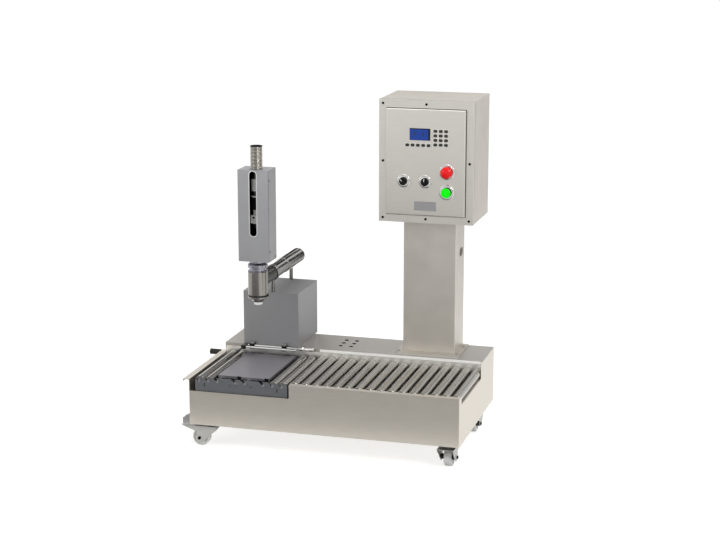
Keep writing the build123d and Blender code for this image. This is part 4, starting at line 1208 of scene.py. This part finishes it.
@dataclass
class OperatorPanel:
    """Display, keys, buttons, selectors and the blank grey plate."""

    nodes: Nodes
    key_size: tuple[float, float] = (17.0, 13.0)
    key_pitch: tuple[float, float] = (24.5, 20.5)
    button_bezel: float = 35.0
    selector_bezel: float = 30.0
    plate_size: tuple[float, float] = (102.0, 42.0)
    plate_below: tuple[float, float] = (26.0, 326.0)

    def bezels(self) -> None:
        """Bright rings under the controls, each with a groove near its rim darkened by a black ring of
        painted shade.
        """
        back = NodeBox("control_bezels").high[1]
        rows = [(node, self.button_bezel, 11.3) for node in ("stop_button", "start_button")]
        rows += [(node, self.selector_bezel, 8.3) for node in ("selector_left", "selector_right")]
        for number, (node, radius, bore) in enumerate(rows):
            place = rear_middle(NodeBox(node))
            place[1] = back
            groove = radius - 4
            ring = [(bore, 0), (radius, 0), (radius, 3), (radius - 2, 5), (groove, 5.5), (groove - 0.8, 4.2)]
            ring += [(groove - 1.6, 5.8), (20, 6), (bore, 6)]
            bright, dark = Wear("bezel", "aluminium"), Wear("hole", "aluminium")
            lathe(f"{node}_bezel", ring, place, FRONT, bright, () if number else ("control_bezels",), 0.4)
            # A black ring in the groove: painted shade in the recess.
            line = band(groove - 1.7, groove + 0.2, 4.0, 5.2)
            lathe(f"{node}_bezel_groove_painted_shade", line, place, FRONT, dark, ease_mm=0.2)

    def buttons(self) -> None:
        """Red mushroom head and flat green cap, each on a dark collar."""
        stop, start = NodeBox("stop_button"), NodeBox("start_button")
        radius, length = stop.size[0] / 2 / MM, stop.size[1] / MM
        angle = np.linspace(0, np.pi / 2, 9)
        rounded = [(radius * math.cos(a), length - 14 + 14 * math.sin(a)) for a in angle]
        dome = [(0, 20), (19, 20), (radius - 2, 21), *rounded]
        place = rear_middle(stop)
        mesh = placed(turned(np.array(dome) * MM, closed=False), place, FRONT)
        make_piece("stop_button_head", mesh, Wear("red", "red", "stop_button"), ("stop_button",))
        collar = [(0, 0), (11, 0), (11, 18.3), (19.5, 18.3), (19.5, 20), (0, 20)]
        lathe("stop_button_collar", collar, place, FRONT, Wear("black", "red", "stop_button"))
        radius, length = start.size[0] / 2 / MM - 1.5, start.size[1] / MM
        rows = (
            ("start_button_cap", "green", 1.2,
             [(0, 25), (radius, 25), (radius, length - 1.5), (radius - 3, length), (0, length)]),
            ("start_button_collar", "black", 0.6,
             [(0, 0), (11, 0), (11, 18.3), (23.5, 18.3), (23.5, 25), (0, 25)]),
        )
        stack(rows, rear_middle(start), FRONT, "green", "start_button", ("start_button",))

    def selectors(self) -> None:
        """Black knobs with a grip bar and a white pointer line, turned to where each points from upright."""
        knob = [(0, 0), (8, 0), (8, 14.3), (18.5, 14.3), (18.5, 24.3), (16.5, 26.3), (0, 26.3)]
        for node, degrees in (("selector_left", -45.0), ("selector_right", 0.0)):
            back = rear_middle(NodeBox(node))
            black, white = Wear("black", "black_plastic", node), Wear("white", "black_plastic", node)
            lathe(f"{node}_knob", knob, back, FRONT, black, (node,), 0.8)
            angle = math.radians(degrees)
            turn = np.array([(math.cos(angle), -math.sin(angle)), (math.sin(angle), math.cos(angle))])
            grip, line = rectangle(9.0, 35.0, 2.5) @ turn, rectangle(2.6, 13.0, middle=(0, 10.0)) @ turn
            slab(f"{node}_grip", grip, back - np.array([0, 25.0, 0]) * MM, FRONT, 9.9, black, bevel_mm=1.2)
            slab(f"{node}_line", line, back - np.array([0, 34.7, 0]) * MM, FRONT, 0.5, white)

    def display(self) -> None:
        """Black window frame with the blue screen set low at its right, and two faint dark marks."""
        box = NodeBox("display")
        width, height = box.size[0] / MM, box.size[2] / MM
        middle, slot = rear_middle(box), "screen"
        frame, screen = rectangle(width, height, 1.5), rectangle(width - 9, height - 5, middle=(-3.5, -1.5))
        slab("display_frame", frame, middle, FRONT, 2.6, Wear("black", slot), ("display",), 0.5)
        slab("display_screen", screen, middle, FRONT, 3.0, Wear("screen", slot))
        for number, x in enumerate((15.0, -24.0)):
            mark = rectangle(8, 15, middle=(x, 2))
            place = middle - np.array([0, 2.8 * MM, 0])
            slab(f"display_mark_{number}", mark, place, FRONT, 0.25, Wear("screen_mark", slot))

    def keys(self) -> None:
        """Twelve number keys and five function keys: dark pillows on two pale mats."""
        box = NodeBox("keypad")
        pitch_x, pitch_z = self.key_pitch
        number_middle = (box.high[0] - 1.5 * pitch_x * MM, box.high[2] - 2 * pitch_z * MM)
        row_middle = (box.low[0] + 2.5 * pitch_x * MM, box.low[2] + 0.5 * pitch_z * MM)
        key = rectangle(*self.key_size, 4.5)
        replaces = ("keypad",)
        for group, (x, z), columns, rows in (("number", number_middle, 3, 4), ("function", row_middle, 5, 1)):
            mat = rectangle(columns * pitch_x, rows * pitch_z, 3.0)
            place = np.array([x, box.high[1], z])
            slab(f"{group}_key_mat", mat, place, FRONT, 1.0, Wear("key_mat", "keys"), replaces)
            replaces = ()
            for column in range(columns):
                for row in range(rows):
                    shift = ((column - (columns - 1) / 2) * pitch_x, (row - (rows - 1) / 2) * pitch_z)
                    key_place = place + np.array([shift[0], -1.0, shift[1]]) * MM
                    name = f"{group}_key_{column}{row}"
                    slab(name, key, key_place, FRONT, 3.0, Wear("key", "keys"), bevel_mm=1.4)

    def build(self) -> None:
        """Builds the controls and the grey plate under them."""
        for build in (self.bezels, self.buttons, self.selectors, self.display, self.keys):
            build()
        right, below = self.plate_below
        place = rear_middle(NodeBox("display")) + np.array([right, 0, -below]) * MM
        plate = rectangle(*self.plate_size, 1.5)
        slab("grey_plate", plate, place, FRONT, 0.8, Wear("grey_plate", "aluminium"), bevel_mm=0.2)


@dataclass
class Castors:
    """Four swivel castors: zinc plated fork with its bolt heads, white wheel on a dark hub."""

    nodes: Nodes
    hub_radius: float = 12.0
    axle_bore: float = 4.2
    half_width: float = 18.5
    bolt_radius: float = 7.0
    bolt_height: float = 5.0
    pin_radius: float = 6.5
    pin_reach: float = 1.0
    pin_share: float = 0.97

    def wheel(self, node: str) -> None:
        """Turns a wheel with rounded tread edges and dished sides, and its hub.

        Args:
            node: the wheel's node.
        """
        box = NodeBox(node)
        radius = box.size[2] / 2 / MM
        along = RIGHT if box.size[0] < box.size[1] else REAR
        hub, half = box.size[:2].min() / 2 / MM, self.half_width
        side = [(self.hub_radius, 4 - half), (radius - 11, 5 - half), (radius - 8, -half)]
        side += [(radius - 4, -half), (radius, 4 - half)]
        outline = side + [(r, -h) for r, h in side[::-1]]
        core = band(self.axle_bore, self.hub_radius, -hub, hub)
        rows = ((f"{node}_tyre", "wheel", 1.5, outline), (f"{node}_hub", "rubber_and_painted_shadow", 0.6, core))
        stack(rows, box.middle, along, "wheel", node, (node,))

    def fork(self, node: str) -> None:
        """Rounds a fork's edges and draws its kingpin in a little, so that it turns clear in its pad's hole.

        Each point of the pin becomes middle + (point - middle) * share, square to the pin's axis.

        Args:
            node: the fork's node.
        """
        piece = eased_copy(self.nodes, node, Wear("fork", "zinc", node), 0.8)
        points = np.empty(len(piece.data.vertices) * 3)
        piece.data.vertices.foreach_get("co", points)
        points = points.reshape(-1, 3)
        top = points[:, 2] > points[:, 2].max() - 0.1 * MM
        middle = (points[top, :2].min(axis=0) + points[top, :2].max(axis=0)) / 2
        away = points[:, :2] - middle
        high = points[:, 2] > NodeBox("castor_pads").low[2] - self.pin_reach * MM
        pin = high & (np.linalg.norm(away, axis=1) < self.pin_radius * MM)
        points[pin, :2] = middle + away[pin] * self.pin_share
        piece.data.vertices.foreach_set("co", points.ravel())
        piece.data.update()

    def bolts(self, place: str) -> None:
        """Dark bolt heads at both ends of a castor's axle.

        Args:
            place: the castor's corner, as in its nodes' names.
        """
        body = f"castor_fork_{place}"
        wheel, fork = NodeBox(f"castor_wheel_{place}"), NodeBox(body)
        across = 0 if wheel.size[0] < wheel.size[1] else 1
        head = eased(hexagon(2 * self.bolt_radius), 1.0)
        for side, end, word in ((-1, fork.low[across], "low"), (1, fork.high[across], "high")):
            direction, start = np.zeros(3), wheel.middle.copy()
            direction[across] = side
            start[across] = end - side * self.bolt_height * MM
            wear = Wear("dark_polish_and_painted_shade", "zinc", body)
            slab(f"castor_{place}_bolt_{word}", head, start, direction, self.bolt_height, wear, (), 0.6)

    def build(self) -> None:
        """Builds the wheels and rounds the forks' edges."""
        for name in sorted(self.nodes):
            if name.startswith("castor_fork_"):
                self.fork(name)
                self.bolts(name.removeprefix("castor_fork_"))
            if name.startswith("castor_wheel_"):
                self.wheel(name)


# Studio


@dataclass
class Studio:
    """Camera, lamps, world and floor."""

    camera_place: tuple[float, float, float] = (2.1715, -7.3183, 2.5108)
    camera_forward: tuple[float, float, float] = (-0.2655, 0.9381, -0.2225)
    camera_up: tuple[float, float, float] = (-0.0607, 0.2140, 0.9749)
    lens_mm: float = 85.2
    sensor_mm: float = 36.0
    ambient: float = 0.62
    floor_size: float = 60.0
    floor_glow: float = 0.68
    floor_colour: str = "B9B9B8"
    card_colour: str = "050505"
    mat_colour: str = "7E7E7E"
    mat_height: float = 0.01
    lamps: tuple[tuple[str, Place, Place, float, float], ...] = (
        ("key_lamp", (3.2, -3.0, 3.6), (0.1, 0, 0.6), 1.6, 110),
        ("fill_lamp", (-3.4, -3.2, 2.2), (0, 0, 0.6), 2.2, 40),
        ("top_lamp", (0.2, 0.6, 3.8), (0, 0, 0.3), 2.0, 45),
    )
    mats: tuple[tuple[float, ...], ...] = (
        (-2.6, 1.0, -4.2, -0.7),
        (-0.5, 0.4, 0.5, 2.4),
        (0.2, 1.0, 2.8, 4.4),
    )
    cards: tuple[tuple[float, ...], ...] = (
        (1.15, 4.6, 0.55, 3.2, 0.02),
        (-1.75, 4.6, 0.6, 3.2, 0.02),
        (-0.7, 4.6, 1.5, 1.6, 2.3),
        (-2.7, -2.3, 0.5, 2.2, 0.02),
        (2.5, -1.1, 0.35, 1.6, 0.02),
    )

    def camera(self) -> None:
        """Sets the camera at the photograph's place, direction and lens."""
        data = bpy.data.cameras.new("photograph_camera")
        data.lens = self.lens_mm
        data.sensor_width = self.sensor_mm
        data.clip_end = 200.0
        camera = new_object("photograph_camera", data)
        back = -Vector(self.camera_forward).normalized()
        right = Vector(self.camera_up).cross(back).normalized()
        rotation = Matrix((right, back.cross(right), back)).transposed().to_4x4()
        camera.matrix_world = Matrix.Translation(self.camera_place) @ rotation
        bpy.context.scene.camera = camera

    def lamp(self, name: str, place: Place, target: Place, size: float, power: float) -> None:
        """Sets a square area lamp at a place, turned to its target.

        Args:
            name: the lamp's name.
            place: where it stands.
            target: where it points.
            size: side of the lit square, in metres.
            power: in watts.
        """
        data = bpy.data.lights.new(name, "AREA")
        data.size = size
        data.energy = power
        rotation = (Vector(target) - Vector(place)).to_track_quat("-Z", "Y").to_matrix().to_4x4()
        new_object(name, data).matrix_world = Matrix.Translation(place) @ rotation

    def shown(self, tree: bpy.types.NodeTree) -> bpy.types.NodeSocket:
        """One for rays of the camera, of gloss and of transmission, and zero for the rest.

        Args:
            tree: the node tree of the world or of a material.

        Returns:
            The output that holds it.
        """
        rays = add_node(tree, "ShaderNodeLightPath").outputs
        shown = rays["Is Camera Ray"]
        for kind in ("Is Glossy Ray", "Is Transmission Ray"):
            either = add_node(tree, "ShaderNodeMath", {0: shown, 1: rays[kind]}, operation="MAXIMUM")
            shown = either.outputs[0]
        return shown

    def world(self) -> None:
        """White to the eye and in reflections, and a plain dimmer light for the rest."""
        world = bpy.data.worlds.new("studio_world")
        world.use_nodes = True
        tree = world.node_tree
        tree.nodes.clear()
        inputs = {"Color": (1, 1, 1, 1), "Strength": mapped(self.shown(tree), self.ambient, 1.0)}
        background = add_node(tree, "ShaderNodeBackground", inputs)
        add_node(tree, "ShaderNodeOutputWorld", {"Surface": background.outputs["Background"]})
        bpy.context.scene.world = world

    def sheet(self, name: str, points: list, material: bpy.types.Material) -> bpy.types.Object:
        """Makes a flat four-cornered piece of the studio, which isn't part of the machine.

        Args:
            name: its name.
            points: its corners in order.
            material: its material.

        Returns:
            The object.
        """
        data = bpy.data.meshes.new(name)
        data.from_pydata(points, [], [(0, 1, 2, 3)])
        data.materials.append(material)
        sheet = new_object(name, data)
        return sheet

    def unseen(self, name: str, points: list, material: bpy.types.Material) -> None:
        """Makes a studio piece that only mirror reflections see.

        Args:
            name: its name.
            points: its corners in order.
            material: its material.
        """
        sheet = self.sheet(name, points, material)
        sheet.visible_camera = False
        sheet.visible_diffuse = False
        sheet.visible_shadow = False

    def level(self, left: float, right: float, near: float, far: float, height: float) -> list:
        """Corners of a level rectangle at a height."""
        return [(left, near, height), (right, near, height), (right, far, height), (left, far, height)]

    def floor(self) -> None:
        """A wide pale floor at the wheels' underside: its glow lifts it to white, and its shadows stay."""
        half = self.floor_size / 2
        material, shader = new_material("pale_floor")
        inputs = {
            "Base Color": linear(self.floor_colour),
            "Roughness": 0.9,
            "Emission Color": (1, 1, 1, 1),
            "Emission Strength": mapped(self.shown(shader.id_data), 0.0, self.floor_glow),
        }
        fill(shader, inputs)
        self.sheet("floor", self.level(-half, half, -half, half, 0), material)

    def reflections(self) -> None:
        """Narrow black cards and grey mats round the machine: the dark streaks in polished steel."""
        black, black_shader = new_material("black_card")
        grey, grey_shader = new_material("grey_mat")
        fill(black_shader, {"Base Color": linear(self.card_colour), "Roughness": 1.0})
        fill(grey_shader, {"Base Color": linear(self.mat_colour), "Roughness": 1.0})
        for number, (x, y, width, height, low) in enumerate(self.cards):
            side = Vector((-y, x, 0)).normalized() * (width / 2)
            foot = Vector((x, y, low))
            top = foot + Vector((0, 0, height))
            self.unseen(f"card_{number}", [foot - side, foot + side, top + side, top - side], black)
        for number, edges in enumerate(self.mats):
            self.unseen(f"grey_mat_{number}", self.level(*edges, self.mat_height), grey)

    def build(self) -> None:
        """Builds the studio."""
        for build in (self.camera, self.world, self.floor, self.reflections):
            build()
        for lamp in self.lamps:
            self.lamp(*lamp)
        bpy.context.scene.view_settings.view_transform = "Standard"


def corners(bounds: tuple) -> list:
    """Two corners as plain lists of numbers."""
    return [[float(value) for value in corner] for corner in bounds]


def main() -> None:
    """Loads the frame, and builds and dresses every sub-assembly."""
    logging.basicConfig(level=logging.INFO, format="%(name)s %(message)s")
    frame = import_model()
    nodes = frame["nodes"]
    parts = (
        Tray, RollerLane, WeighingSection, ContainerStop,
        FillingHead, ControlColumn, OperatorPanel, Castors,
    )
    for part in parts:
        part(nodes).build()
    Studio().build()


if __name__ == "__main__":
    main()
